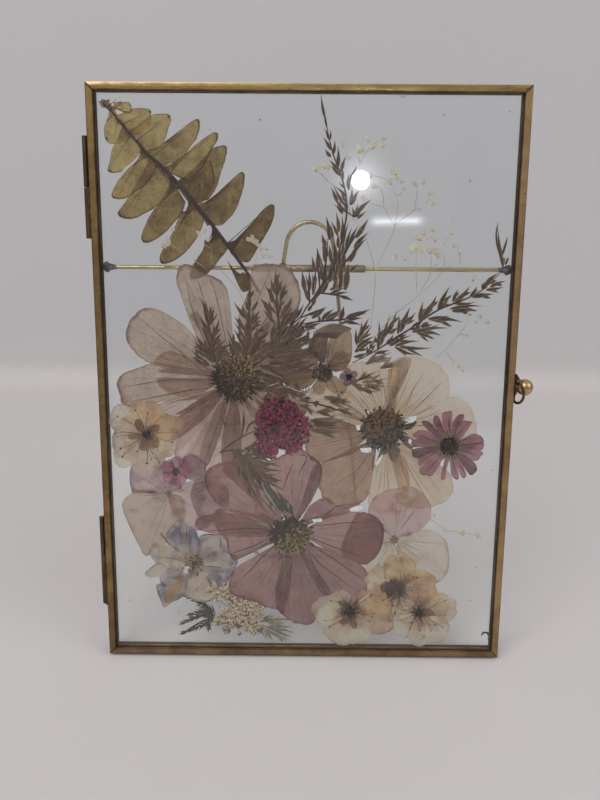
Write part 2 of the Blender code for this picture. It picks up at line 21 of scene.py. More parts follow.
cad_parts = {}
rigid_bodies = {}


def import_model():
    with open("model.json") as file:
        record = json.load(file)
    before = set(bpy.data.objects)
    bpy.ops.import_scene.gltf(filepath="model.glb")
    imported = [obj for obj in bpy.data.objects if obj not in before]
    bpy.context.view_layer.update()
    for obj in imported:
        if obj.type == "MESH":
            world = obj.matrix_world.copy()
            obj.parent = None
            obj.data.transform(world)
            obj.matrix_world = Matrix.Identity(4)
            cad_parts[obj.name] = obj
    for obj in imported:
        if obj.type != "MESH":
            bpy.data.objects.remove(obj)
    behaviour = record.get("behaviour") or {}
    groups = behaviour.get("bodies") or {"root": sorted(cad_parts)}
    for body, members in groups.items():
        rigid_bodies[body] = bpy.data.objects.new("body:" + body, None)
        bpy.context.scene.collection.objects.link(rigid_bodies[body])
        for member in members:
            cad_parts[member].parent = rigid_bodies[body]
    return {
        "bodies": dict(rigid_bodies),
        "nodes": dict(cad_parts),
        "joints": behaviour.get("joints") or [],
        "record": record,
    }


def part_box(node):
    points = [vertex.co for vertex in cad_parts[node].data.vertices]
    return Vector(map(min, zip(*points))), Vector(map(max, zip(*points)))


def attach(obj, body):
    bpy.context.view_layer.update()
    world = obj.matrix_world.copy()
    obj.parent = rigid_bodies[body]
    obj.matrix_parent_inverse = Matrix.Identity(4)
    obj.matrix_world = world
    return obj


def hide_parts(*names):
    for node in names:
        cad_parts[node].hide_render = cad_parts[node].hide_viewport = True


LOG = logging.getLogger("pressed_flower_frame")
MM = 0.001
Triple = tuple[float, float, float]
Colour = Triple
Spot = tuple[float, float]
Trace = list[Spot]
Socket = bpy.types.NodeSocket
GOLDEN_TURN = 2.39996  # radians from one place to the next in an even spiral
UNIT_MM = 0.31  # millimetres between the panes that one picture unit shows
SIDEWAYS = Matrix.Rotation(math.radians(90.0), 4, "Y")


def trace(run: str, size: int = 2) -> list[tuple[float, ...]]:
    """Splits a run of numbers into pairs of picture coordinates, or into longer groups."""
    return list(zip(*[map(float, run.split())] * size))


def screen(red: float, green: float, blue: float) -> Colour:
    """The light, from 0 to 1, behind a colour as a screen shows it, from 0 to 255.

    Args:
        red: How red it is, from 0 to 255.
        green: How green it is.
        blue: How blue it is.

    Returns:
        Its light, from 0 to 1.
    """
    parts = [part / 255.0 for part in (red, green, blue)]
    return tuple(part / 12.92 if part < 0.04045 else ((part + 0.055) / 1.055) ** 2.4
                 for part in parts)


def scaled(colour: Colour, by: float, most: float = 1.0) -> Colour:
    """A colour made brighter or darker, up to a limit."""
    return tuple(min(most, by * part) for part in colour)


def skin(seen: Colour, gain: float) -> Colour:
    """The colour of a bit itself, for the screen colour that it's seen in."""
    return scaled(screen(*seen), gain, 0.9)


def between(start: Spot, end: Spot, share: float) -> Spot:
    """The place at a share of the way from one place to another."""
    return start[0] + (end[0] - start[0]) * share, start[1] + (end[1] - start[1]) * share


def spiral(count: int) -> Iterable[Spot]:
    """The reach and angle of evenly spread places on a disc, from its middle outwards."""
    return ((math.sqrt((at + 0.5) / count), at * GOLDEN_TURN) for at in range(count))


def petal_rim(centre: Spot, toward: float, length: float, wide: float,
              shake: Callable[[float, float], float] = lambda low, high: 1.0) -> Trace:
    """A rounded petal's rim.

    Args:
        centre: Where the petal starts.
        toward: Its direction in degrees.
        length: Its length in picture units.
        wide: Its width in picture units.
        shake: Gives an uneven factor between two limits, if the rim is uneven.

    Returns:
        The rim from one side of the base round to the other.
    """
    cos, sin = math.cos(math.radians(toward)), math.sin(math.radians(toward))
    rim = []
    for at in range(13):
        swing = math.radians(at * 24.0 - 144.0)
        reach = length * (0.56 + 0.44 * math.cos(swing)) * shake(0.95, 1.04)
        off = wide / 2 * math.sin(swing) * shake(0.95, 1.05)
        rim.append((centre[0] + reach * cos + off * sin, centre[1] - reach * sin + off * cos))
    return rim


def rounded(centre: Spot, toward: float, length: float, wide: float) -> str:
    """A rounded petal's base and rim, as a run of picture coordinates."""
    rim = petal_rim(centre, toward, length, wide)
    return " ".join(f"{u:.1f} {v:.1f}" for u, v in (centre, *rim))


def pipe(bore: float, outer: float, low: float, high: float, edge: float) -> Trace:
    """A short pipe's wall as (radius, height) points, with its corners broken."""
    return [(bore, low + edge), (bore + edge, low), (outer - edge, low), (outer, low + edge),
            (outer, high - edge), (outer - edge, high), (bore + edge, high), (bore, high - edge)]


def smooth_run(points: Sequence[Vector], count: int) -> list[Vector]:
    """Evenly spaced points on a smooth curve through the given ones.

    Args:
        points: The points that the curve passes through, two or more.
        count: How many steps the curve is divided into.

    Returns:
        count + 1 points, from the first given point to the last.
    """
    ends = [points[0] * 2 - points[1], *points, points[-1] * 2 - points[-2]]
    fine: list[Vector] = []
    for before, start, end, after in zip(ends, ends[1:], ends[2:], ends[3:]):
        for step in range(10):
            t = step / 10
            fine.append(0.5 * (
                2 * start + (end - before) * t
                + (2 * before - 5 * start + 4 * end - after) * t * t
                + (3 * start - before - 3 * end + after) * t ** 3
            ))
    fine.append(points[-1].copy())
    travelled = [0.0]
    for start, end in zip(fine, fine[1:]):
        travelled.append(travelled[-1] + (end - start).length)
    run, at = [], 0
    for step in range(count + 1):
        wanted = travelled[-1] * step / count
        while at < len(fine) - 2 and travelled[at + 1] < wanted:
            at += 1
        gap = max(travelled[at + 1] - travelled[at], 1e-9)
        run.append(fine[at].lerp(fine[at + 1], min(1.0, (wanted - travelled[at]) / gap)))
    return run


def arc(centre: Spot, radius: float, start_deg: float, end_deg: float, steps: int) -> Trace:
    """Points of a plane arc, both ends included."""
    turns = [math.radians(start_deg + (end_deg - start_deg) * at / steps) for at in range(steps + 1)]
    return [(centre[0] + radius * math.cos(a), centre[1] + radius * math.sin(a)) for a in turns]


def stepped(values: Sequence[float], share: float) -> float:
    """Reads a list of evenly spaced values at a share of its length.

    Args:
        values: The values, two or more.
        share: Where to read them, from 0 to 1.

    Returns:
        The value there, between its two neighbours.
    """
    place = share * (len(values) - 1)
    low = min(int(place), len(values) - 2)
    return values[low] + (values[low + 1] - values[low]) * (place - low)


# ---- where things are -------------------------------------------------------------------------

@dataclass(frozen=True)
class FrameSpace:
    """The leaned frame's own axes and the picture's camera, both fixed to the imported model."""

    origin: Vector
    lean_deg: float = 10.0
    pane_inset: float = 0.6
    pane_thick: float = 1.2
    focal_px: float = 726.87
    centre_px: Spot = (300.0, 400.0)
    eye: Triple = (-0.81, -225.06, 130.99)
    right: Triple = (0.99995, 0.00619, 0.00814)
    down: Triple = (0.00869, -0.18786, -0.98215)
    ahead: Triple = (-0.00464, 0.98218, -0.1879)

    @classmethod
    def from_pane(cls, low: Vector, high: Vector) -> FrameSpace:
        """Finds the frame's origin, in metres, from the box of the front pane.

        Args:
            low: The box's lower corner.
            high: Its upper corner.

        Returns:
            The frame's space.
        """
        lean = math.radians(cls.lean_deg)
        y = low.y - cls.pane_inset * (math.cos(lean) + math.sin(lean)) * MM
        z = low.z + ((cls.pane_inset + cls.pane_thick) * math.sin(lean)
                     - cls.pane_inset * math.cos(lean)) * MM
        return cls(Vector(((low.x + high.x) / 2, y, z)))

    def matrix(self) -> Matrix:
        """Takes (x, depth, z) in millimetres to the world in metres."""
        turn = Matrix.Rotation(-math.radians(self.lean_deg), 4, "X")
        return Matrix.Translation(self.origin) @ turn @ Matrix.Scale(MM, 4)

    def sight(self, u: float, v: float) -> Vector:
        """Direction, in frame axes, in which the camera sees a picture coordinate.

        Args:
            u: Picture coordinate to the right.
            v: Picture coordinate downwards.

        Returns:
            The direction, not of unit length.
        """
        across, below = u - self.centre_px[0], v - self.centre_px[1]
        return (Vector(self.ahead) * self.focal_px + Vector(self.right) * across
                + Vector(self.down) * below)

    def on_plane(self, u: float, v: float, depth: float) -> Vector:
        """The (x, z) place at a depth that a picture coordinate shows.

        Args:
            u: Picture coordinate to the right.
            v: Picture coordinate downwards.
            depth: Depth behind the front face, in millimetres.

        Returns:
            The place in millimetres.
        """
        ray = self.sight(u, v)
        reach = (depth - self.eye[1]) / ray.y
        return Vector((self.eye[0] + ray.x * reach, self.eye[2] + ray.z * reach))

    def camera_matrix(self) -> Matrix:
        """The camera's world matrix.

        Returns:
            The matrix, in metres.
        """
        turn = Matrix.Rotation(-math.radians(self.lean_deg), 3, "X")
        axes = [turn @ Vector(self.right), turn @ -Vector(self.down), turn @ -Vector(self.ahead)]
        basis = Matrix([[axis[row] for axis in axes] for row in range(3)]).to_4x4()
        basis.translation = self.matrix() @ Vector(self.eye)
        return basis


# ---- finishes ---------------------------------------------------------------------------------

class Grain(Enum):
    """The way that drawn brass was pulled, as a world axis."""

    ACROSS = (0.04, 1.0, 1.0)
    UPRIGHT = (1.0, 1.0, 0.04)
    ROUND = (1.0, 1.0, 1.0)


class Nodes:
    """Short ways to add and join the nodes of a material, a lamp or the sky."""

    def __init__(self, owner: bpy.types.Material | bpy.types.Light | bpy.types.World) -> None:
        """Works on the nodes of a material, a lamp or the sky."""
        owner.use_nodes = True
        self.owner, self.tree = owner, owner.node_tree

    @classmethod
    def fresh(cls, name: str) -> Nodes:
        """Starts an empty material.

        Args:
            name: The material's name.

        Returns:
            Its nodes, none so far.
        """
        n = cls(bpy.data.materials.new(name))
        n.tree.nodes.clear()
        return n

    def add(self, kind: str, inputs: dict | None = None, **settings: object) -> bpy.types.Node:
        """Adds a node, fills its inputs with numbers or links, and applies its settings.

        Args:
            kind: The node's type, without its prefix.
            inputs: Numbers or links, by the input's name or index.
            settings: The node's own settings.

        Returns:
            The node.
        """
        node = self.tree.nodes.new("ShaderNode" + kind)
        for key, value in settings.items():
            setattr(node, key, value)
        for key, value in (inputs or {}).items():
            if isinstance(value, Socket):
                self.tree.links.new(value, node.inputs[key])
            else:
                node.inputs[key].default_value = value
        return node

    def math(self, how: str, a: object, b: object = 0.0, clamp: bool = False) -> Socket:
        """One sum of two numbers or links."""
        return self.add("Math", {0: a, 1: b}, operation=how, use_clamp=clamp).outputs[0]

    def times(self, a: object, b: object) -> Socket:
        """A product."""
        return self.math("MULTIPLY", a, b)

    def plus(self, a: object, b: object, clamp: bool = False) -> Socket:
        """A sum, held between 0 and 1 if clamped."""
        return self.math("ADD", a, b, clamp)

    def off(self, share: object) -> Socket:
        """How far a share lies off its middle: 0 there and 1 at both ends."""
        return self.math("ABSOLUTE", self.math("SUBTRACT", self.times(share, 2.0), 1.0))

    def span(self, value: object, low: float, high: float, to_low: float = 0.0,
             to_high: float = 1.0) -> Socket:
        """Smoothly maps one range of a value to another.

        Args:
            value: The value.
            low: Where its range starts.
            high: Where its range ends.
            to_low: What the start becomes.
            to_high: What the end becomes.

        Returns:
            The mapped value.
        """
        inputs = {"Value": value, "From Min": low, "From Max": high, "To Min": to_low,
                  "To Max": to_high}
        return self.add("MapRange", inputs, interpolation_type="SMOOTHSTEP").outputs[0]

    def noise(self, vector: object, scale: float, detail: float = 3.0,
              rough: float = 0.55) -> Socket:
        """A cloudy value around a half."""
        inputs = {"Vector": vector, "Scale": scale, "Detail": detail, "Roughness": rough}
        return self.add("TexNoise", inputs).outputs[0]

    def blend(self, share: object, a: object, b: object) -> Socket:
        """Mixes two colours.

        Args:
            share: How much there is of the second one.
            a: The first colour, or a link to it.
            b: The second one.

        Returns:
            The mixed colour.
        """
        node = self.add("Mix", {0: share}, data_type="RGBA")
        for at, value in ((6, a), (7, b)):
            if isinstance(value, Socket):
                self.tree.links.new(value, node.inputs[at])
            else:
                node.inputs[at].default_value = (*value[:3], 1.0)
        return node.outputs[2]

    def place(self, stretch: Triple = (1.0, 1.0, 1.0)) -> Socket:
        """Object coordinates, stretched along an axis."""
        where = self.add("TexCoord").outputs["Object"]
        return self.add("Mapping", {"Vector": where, "Scale": stretch}).outputs[0]

    def grain(self) -> tuple[Socket, Socket, Socket]:
        """Across, along and tone, as the piece's own mesh carries them."""
        held = self.add("Attribute", attribute_name="grain", attribute_type="GEOMETRY")
        return tuple(self.add("SeparateXYZ", {0: held.outputs["Vector"]}).outputs)

    def bump(self, height: object, strength: float, distance: float) -> Socket:
        """A small relief."""
        inputs = {"Height": height, "Strength": strength, "Distance": distance}
        return self.add("Bump", inputs).outputs[0]

    def mix(self, share: object, a: bpy.types.Node, b: bpy.types.Node) -> bpy.types.Node:
        """Mixes two shaders."""
        return self.add("MixShader", {0: share, 1: a.outputs[0], 2: b.outputs[0]})

    def finish(self, shader: bpy.types.Node) -> bpy.types.Material:
        """Joins the last shader to the output."""
        self.add("OutputMaterial", {"Surface": shader.outputs[0]})
        return self.owner


class Finish(Protocol):
    """What every finish has: a name, and a way to make its material."""

    name: str

    def make(self) -> bpy.types.Material:
        """Builds the material."""


@dataclass(frozen=True)
class AgedBrass:
    """Satin brass with brown tarnish, darker spots and drawn streaks; lined, its face gets painted shade at
    both edges, dark joints at its mitred ends and, if asked, a painted highlight on its outer edge.
    """

    name: str
    grain: Grain = Grain.ROUND
    bright: Colour = (0.58, 0.40, 0.165)
    brown: Colour = (0.17, 0.098, 0.045)
    tarnish: float = 0.5
    rough: float = 0.3
    lined: bool = False
    # How strong the painted highlight along the face's outer edge is.
    polished: float = 0.0
    spotted: Colour = (0.055, 0.034, 0.02)

    def make(self) -> bpy.types.Material:
        """Builds the material.

        Returns:
            The material.
        """
        n = Nodes.fresh(self.name)
        plain, drawn = n.place(), n.place(self.grain.value)
        cloud = n.noise(plain, 95.0, 5.0, 0.62)
        streak = n.noise(drawn, 2600.0, 3.0, 0.6)
        spots = n.span(n.noise(plain, 1500.0, 2.0, 0.5), 0.66, 0.72)
        middle = 0.62 - 0.24 * self.tarnish
        stain = n.span(cloud, middle - 0.12, middle + 0.14)
        worn = n.times(stain, n.span(streak, 0.2, 0.75, 0.45, 1.0))
        metal = n.blend(worn, self.bright, self.brown)
        metal = n.blend(n.times(spots, 0.75), metal, self.spotted)
        metal = n.blend(n.span(streak, 0.3, 0.7, 0.0, 0.25), metal, scaled(self.bright, 1.7))
        if self.lined:
            across, along, _ = n.grain()
            side, end = n.off(across), n.off(along)
            wander = n.times(n.math("SUBTRACT", cloud, 0.5), 0.35)
            # Painted shade darkens the face towards both of its edges; the same mask darkens the mitred ends
            # as dark joints.
            edge_shade_and_joints = n.math("MAXIMUM", n.span(n.plus(side, wander), 0.62, 0.98, 0.0, 0.85),
                           n.span(end, 0.9925, 0.998, 0.0, 0.8))
            metal = n.blend(edge_shade_and_joints, metal, scaled(self.brown, 0.4))
            if self.polished:
                # A painted highlight along the face's outer edge.
                shine = n.span(across, 0.03, 0.17, self.polished, 0.0)
                metal = n.blend(shine, metal, (0.95, 0.82, 0.56))
        rough = n.plus(n.times(worn, 0.22),
                       n.span(streak, 0.25, 0.75, self.rough - 0.06, self.rough + 0.08))
        return n.finish(n.add("BsdfPrincipled", {
            "Base Color": metal, "Metallic": 1.0, "Roughness": rough,
            "Normal": n.bump(n.plus(streak, n.times(cloud, 1.5)), 0.12, 0.0002),
        }))


@dataclass(frozen=True)
class GreySolder:
    """Dull lead-grey solder, lumpy, with a few brighter spots."""

    name: str = "grey_solder"
    dark: Colour = (0.055, 0.052, 0.052)
    light: Colour = (0.24, 0.225, 0.21)

    def make(self) -> bpy.types.Material:
        """Builds the material.

        Returns:
            The material.
        """
        n = Nodes.fresh(self.name)
        plain = n.place()
        cloud, fine = n.noise(plain, 700.0, 4.0), n.noise(plain, 3200.0, 3.0)
        metal = n.blend(n.span(cloud, 0.42, 0.66), self.dark, self.light)
        return n.finish(n.add("BsdfPrincipled", {
            "Base Color": metal, "Metallic": 0.85, "Roughness": n.span(fine, 0.3, 0.7, 0.36, 0.62),
            "Normal": n.bump(n.plus(cloud, fine), 0.5, 0.0003),
        }))


@dataclass(frozen=True)
class WindowGlass:
    """A clear pane with a faint film, a little dust and slow waves."""

    name: str = "window_glass"
    tint: Colour = (0.972, 0.987, 0.988)
    dusty: Colour = (0.94, 0.955, 0.955)

    def make(self) -> bpy.types.Material:
        """Builds the material. Lamps shine straight through, as through any thin flat pane.

        Returns:
            The material.
        """
        n = Nodes.fresh(self.name)
        plain = n.place()
        film = n.noise(plain, 28.0, 4.0, 0.6)
        dust = n.span(n.noise(plain, 2300.0, 2.0, 0.5), 0.70, 0.74)
        haze = n.plus(n.span(film, 0.45, 0.75, 0.0, 0.5), n.times(dust, 0.5), True)
        glass = n.add("BsdfPrincipled", {
            "Base Color": n.blend(haze, self.tint, self.dusty), "Transmission Weight": 1.0,
            "IOR": 1.5, "Roughness": n.times(haze, 0.02),
            "Normal": n.bump(n.noise(plain, 14.0, 1.0), 0.02, 0.001),
        })
        clear = n.add("BsdfTransparent", {"Color": (0.95, 0.965, 0.965, 1.0)})
        return n.finish(n.mix(n.add("LightPath").outputs["Is Shadow Ray"], glass, clear))


@dataclass(frozen=True)
class PressedPetal:
    """A dried petal: it lets tinted light through, and less of it at veins, edges and folds.

    light and deep are the screen colours of one petal before the pale wall, where it's palest
    and where it's darkest. ground is the wall's own screen colour there, and gain makes up for
    the light that the panes and the petal's own skin keep back.
    """

    name: str
    light: Colour
    deep: Colour
    cover: float = 0.13
    cover_deep: float = 0.2
    scatter: float = 0.4
    ground: Colour = (178.0, 178.0, 181.0)
    gain: float = 1.25
    veins: float = 11.0
    vein: float = 0.6
    edge: float = 0.6
    root: float = 0.25
    root_colour: Colour | None = None
    root_reach: float = 0.42
    blotch: float = 0.25
    speckle: float = 0.0
    relief: float = 0.3

    def passed(self, seen: Colour) -> Colour:
        """What one side of the sheet lets through, for a screen colour seen through both."""
        return tuple(min(1.0, math.sqrt(self.gain * part / whole))
                     for part, whole in zip(screen(*seen), screen(*self.ground)))

    def make(self) -> bpy.types.Material:
        """Builds the material.

        Returns:
            The material.
        """
        n = Nodes.fresh(self.name)
        plain = n.place()
        across, along, tone = n.grain()
        cloud = n.noise(plain, 210.0, 4.0, 0.6)
        fine = n.noise(plain, 1900.0, 3.0, 0.6)
        swerve = n.times(n.noise(plain, 130.0, 2.0), 0.9)
        run = n.plus(n.times(across, self.veins), swerve)
        lines = n.span(n.math("PINGPONG", run, 0.5), 0.0, 0.17, 1.0, 0.0)
        lines = n.times(lines, n.span(n.noise(plain, 420.0, 2.0), 0.35, 0.6, 0.5, 1.0))
        second = n.span(n.math("PINGPONG", n.times(run, 2.7), 0.5), 0.0, 0.3, 0.7, 0.0)
        vein = n.times(n.math("MAXIMUM", lines, second), n.span(along, 0.3, 1.0, 1.0, 0.55))
        rim = n.math("MAXIMUM", n.span(n.off(across), 0.6, 1.0, 0.8, 1.0), along)
        rim = n.span(rim, 0.95, 1.0)
        root = n.span(along, 0.0, self.root_reach, 1.0, 0.0)
        dark = n.times(vein, self.vein)
        dark = n.plus(dark, n.times(rim, self.edge))
        dark = n.plus(dark, n.times(root, self.root))
        dark = n.plus(dark, n.span(cloud, 0.32, 0.7, -0.5 * self.blotch, 0.5 * self.blotch))
        crepe = n.noise(plain, 760.0, 4.0, 0.7)
        dark = n.plus(dark, n.span(crepe, 0.3, 0.7, -0.13, 0.13))
        dark = n.plus(dark, n.times(n.math("SUBTRACT", tone, 0.5), 1.5))
        if self.speckle:
            dots = n.span(n.noise(plain, 3300.0, 1.0, 0.4), 0.66, 0.70)
            dark = n.plus(dark, n.times(dots, self.speckle))
        dark = n.plus(dark, n.span(fine, 0.3, 0.7, 0.02, 0.3), True)
        passed = n.blend(dark, self.passed(self.light), self.passed(self.deep))
        body = n.blend(dark, skin(self.light, 1.5), skin(self.deep, 1.5))
        if self.root_colour:
            share = n.times(root, 0.75)
            passed = n.blend(share, passed, self.passed(self.root_colour))
            body = n.blend(share, body, skin(self.root_colour, 1.5))
        wrinkle = n.plus(n.times(vein, -0.8), n.plus(crepe, fine))
        surface = n.add("BsdfPrincipled", {
            "Base Color": body, "Roughness": n.span(fine, 0.3, 0.7, 0.5, 0.72),
            "Specular IOR Level": 0.25, "Normal": n.bump(wrinkle, self.relief, 0.0002),
        })
        clear = n.add("BsdfTransparent", {"Color": passed})
        milky = n.add("BsdfTranslucent", {"Color": passed})
        film = n.mix(self.scatter, clear, milky)
        return n.finish(n.mix(n.span(dark, 0.0, 1.0, self.cover, self.cover_deep), film, surface))


@dataclass(frozen=True)
class DriedBit:
    """A solid dried bit such as a floret, an anther or a stem, with colours that vary by piece.

    Its colours are screen colours, and gain is how much paler the bit itself is than it's seen. A rim colour,
    if given, is a painted highlight along the bit's edges.
    """

    name: str
    light: Colour
    dark: Colour
    rough: float = 0.62
    # Colour of a painted highlight along the bit's edges, if any.
    rim: Colour | None = None
    gain: float = 1.35

    def make(self) -> bpy.types.Material:
        """Builds the material.

        Returns:
            The material.
        """
        n = Nodes.fresh(self.name)
        plain = n.place()
        across, _, tone = n.grain()
        cloud = n.noise(plain, 900.0, 3.0, 0.6)
        share = n.plus(n.times(cloud, 0.9), n.math("SUBTRACT", tone, 0.45), True)
        colour = n.blend(n.span(share, 0.15, 0.85), skin(self.light, self.gain),
                         skin(self.dark, self.gain))
        # Painted highlight: a paler colour along both edges of the bit.
        if self.rim:
            lines = n.span(n.plus(n.off(across), n.times(cloud, 0.3)), 0.82, 1.02)
            colour = n.blend(lines, colour, skin(self.rim, self.gain))
        return n.finish(n.add("BsdfPrincipled", {
            "Base Color": colour, "Specular IOR Level": 0.18,
            "Roughness": n.span(cloud, 0.3, 0.7, self.rough - 0.08, self.rough + 0.12),
            "Normal": n.bump(n.noise(plain, 2600.0, 3.0), 0.35, 0.0002),
        }))


@dataclass(frozen=True)
class PaleBoard:
    """The plain pale surface that the frame stands on, and the wall behind it."""

    name: str = "pale_board"
    near: Colour = (0.70, 0.665, 0.65)
    far: Colour = (0.665, 0.645, 0.66)

    def make(self) -> bpy.types.Material:
        """Builds the material. The wall is clear from behind, so that it hides no other view.

        Returns:
            The material.
        """
        n = Nodes.fresh(self.name)
        plain = n.place()
        up = n.add("SeparateXYZ", {0: plain}).outputs[2]
        colour = n.blend(n.span(up, -0.002, 0.05), self.near, self.far)
        colour = n.blend(n.span(n.noise(plain, 5.0, 3.0), 0.35, 0.7, 0.0, 0.05), colour, (0.5, 0.5, 0.5))
        board = n.add("BsdfPrincipled", {"Base Color": colour, "Roughness": 0.55,
                                         "Specular IOR Level": 0.25})
        clear = n.add("BsdfTransparent")
        back = n.add("NewGeometry").outputs["Backfacing"]
        return n.finish(n.mix(back, board, clear))


# ---- meshes -----------------------------------------------------------------------------------

class Body(Enum):
    """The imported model's moving bodies."""

    FRONT = "front_leaf"
    BACK = "back_leaf"
    STAND = "stand"
    CLASP = "clasp"

    @property
    def word(self) -> str:
        """The short word for it in the names of nodes and pieces."""
        return self.value.removesuffix("_leaf")


class Slot(Enum):
    """The record's material slots."""

    BRASS = "antique_brass"
    SOLDER = "grey_solder"
    CREAM = "cream_petals"
    DUSTY = "dusty_petals"
    MAUVE = "mauve_petals"
    BLUE = "blue_petals"
    BROWN = "brown_petals"
    CRIMSON = "crimson_petals"
    LEAVES = "dark_leaves"
    FERN = "dried_fern"


class Side(Enum):
    """The four sides of a leaf."""

    TOP = "top"
    BOTTOM = "bottom"
    LEFT = "left"
    RIGHT = "right"


class Shop:
    """What every piece needs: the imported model, the frame's space and the finishes made so far."""

    def __init__(self) -> None:
        """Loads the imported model."""
        self.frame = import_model()
        self.space = FrameSpace.from_pane(*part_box("front_glass"))
        self.painted: dict[str, bpy.types.Material] = {}

    def paint(self, finish: Finish) -> bpy.types.Material:
        """The material of a finish, made once.

        Args:
            finish: The finish.

        Returns:
            Its material.
        """
        if finish.name not in self.painted:
            self.painted[finish.name] = finish.make()
        return self.painted[finish.name]

    def repaint(self, node: str, finish: Finish) -> None:
        """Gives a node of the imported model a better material.

        Args:
            node: The node's name.
            finish: Its new finish.
        """
        slots = self.frame["nodes"][node].data.materials
        slots.clear()
        slots.append(self.paint(finish))
        LOG.info("kept %s as packed, in %s", node, finish.name)


class Mould:
    """One piece's mesh while it's made, in the frame's own millimetres."""

    def __init__(self, shop: Shop) -> None:
        """Starts an empty mesh whose points carry across, along and tone.

        Args:
            shop: What the pieces are made with.
        """
        self.shop = shop
        self.mesh = bmesh.new()
        self.grain = self.mesh.verts.layers.float_vector.new("grain")
        self.thin = self.mesh.faces.layers.int.new("thin")

    def dress(self, made: Iterable[bmesh.types.BMVert], finish: int, thin: bool = False) -> None:
        """Gives the faces round some points their finish, and says whether they're thin."""
        for face in {face for vert in made for face in vert.link_faces}:
            face.material_index, face[self.thin] = finish, int(thin)

    def sheet(self, cols: int, rows: int, place: Callable[[float, float], Vector], tone: float = 0.5,
              finish: int = 0, thin: bool = True) -> list[bmesh.types.BMVert]:
        """Lays a grid and moves each of its points to a place.

        Args:
            cols: Steps across.
            rows: Steps along.
            place: Gives (x, depth, z) for the shares across and along.
            tone: How dark the sheet is, around a half.
            finish: Index of its material on the piece.
            thin: Whether the sheet is to get a thickness at the end.

        Returns:
            The grid's points.
        """
        made = bmesh.ops.create_grid(self.mesh, x_segments=cols, y_segments=rows, size=0.5)["verts"]
        self.dress(made, finish, thin)
        for vert in made:
            across, along = vert.co.x + 0.5, vert.co.y + 0.5
            vert[self.grain] = (across, along, tone)
            vert.co = place(across, along)
        return made

    def fan(self, base: Spot, rim: Trace, depth: float, tone: float = 0.5, finish: int = 0,
            cols: int = 26, rows: int = 9, wave: float = 0.02, rag: float = 0.1,
            foot: Spot | None = None) -> None:
        """A petal: a sheet that spreads from its base to a traced rim.

        Args:
            base: Where the petal starts.
            rim: Its outline from one side of the base round to the other.
            depth: How deep it lies, in millimetres.
            tone: How dark it is, around a half.
            finish: Index of its material on the piece.
            cols: Steps along the rim.
            rows: Steps from the base to the rim.
            wave: How far it ripples in depth, in millimetres.
            rag: How far its rim is nibbled, in millimetres.
            foot: Where a wide base ends, if it isn't a point.
        """
        space = self.shop.space
        root = space.on_plane(*base, depth)
        heel = space.on_plane(*(foot or base), depth)
        edge = smooth_run([space.on_plane(*spot, depth) for spot in rim], cols)
        for at, spot in enumerate(edge):
            bite = noise.noise(Vector((spot.x * 0.9, spot.y * 0.9, depth * 9)))
            bite += 0.7 * noise.noise(Vector((spot.x * 2.7, spot.y * 2.7, depth * 9)))
            edge[at] = spot + (spot - root).normalized() * rag * bite

        def place(across: float, along: float) -> Vector:
            """A point of the petal, with its ripple.

            Args:
                across: Share of the way along the rim.
                along: Share of the way from the base to the rim.

            Returns:
                The point as (x, depth, z).
            """
            flat = root.lerp(heel, across).lerp(edge[round(across * cols)], 0.03 + 0.97 * along)
            ripple = wave * noise.noise(Vector((flat.x * 0.35, flat.y * 0.35, depth * 40)))
            return Vector((flat.x, depth + ripple, flat.y))

        made = self.sheet(cols, rows, place, tone, finish)
        turns = [math.atan2(spot.y - root.y, spot.x - root.x) for spot in edge]
        swept = [0.0]
        for before, after in zip(turns, turns[1:]):
            swept.append(swept[-1] + abs(math.remainder(after - before, 2.0 * math.pi)))
        for vert in made:
            held = vert[self.grain]
            vert[self.grain] = (swept[round(held.x * cols)] / max(swept[-1], 1e-6), held.y, held.z)

    def ribbon(self, spine: Trace, widths: Sequence[float], depth: float, tone: float, finish: int,
               rows: int, cols: int = 2, ridge: float = 0.0) -> None:
        """A strip along a traced spine.

        Args:
            spine: Picture coordinates of its middle.
            widths: Its half widths in millimetres, read along it.
            depth: How deep it lies, in millimetres.
            tone: How dark it is, around a half.
            finish: Index of its material on the piece.
            rows: Steps along it.
            cols: Steps across it.
            ridge: How far its middle rises to the front, in millimetres.
        """
        run = smooth_run([self.shop.space.on_plane(*spot, depth) for spot in spine], rows)

        def place(across: float, along: float) -> Vector:
            """A point of the strip.

            Args:
                across: Share of the way across.
                along: Share of the way along.

            Returns:
                The point as (x, depth, z).
            """
            at = round(along * rows)
            way = (run[min(at + 1, rows)] - run[max(at - 1, 0)]).normalized()
            out = (across * 2.0 - 1.0) * stepped(widths, along)
            lift = ridge * (1.0 - abs(across * 2.0 - 1.0)) * min(1.0, 4.0 * (1.0 - along))
            return Vector((run[at].x - way.y * out, depth - lift, run[at].y + way.x * out))

        self.sheet(cols, rows, place, tone, finish)

    def bead(self, spot: Vector, radius: float, tone: float, finish: int, squash: float,
             stretch: Spot = (1.0, 1.0), turn: float = 0.0, fine: int = 1) -> None:
        """A flattened round bit at an (x, depth, z) place.

        Args:
            spot: Its middle.
            radius: Its radius in millimetres.
            tone: How dark it is, around a half.
            finish: Index of its material on the piece.
            squash: How thick it is in depth, as a share.
            stretch: How wide and how tall it is, as shares.
            turn: How far it's turned, in radians.
            fine: How finely it's divided.
        """
        shape = (Matrix.Translation(spot) @ Matrix.Rotation(turn, 4, "Y")
                 @ Matrix.Diagonal((stretch[0], squash, stretch[1], 1.0)))
        made = bmesh.ops.create_icosphere(self.mesh, subdivisions=fine, radius=radius, matrix=shape)
        for vert in made["verts"]:
            vert[self.grain] = (0.5, 0.5, tone)
        self.dress(made["verts"], finish)

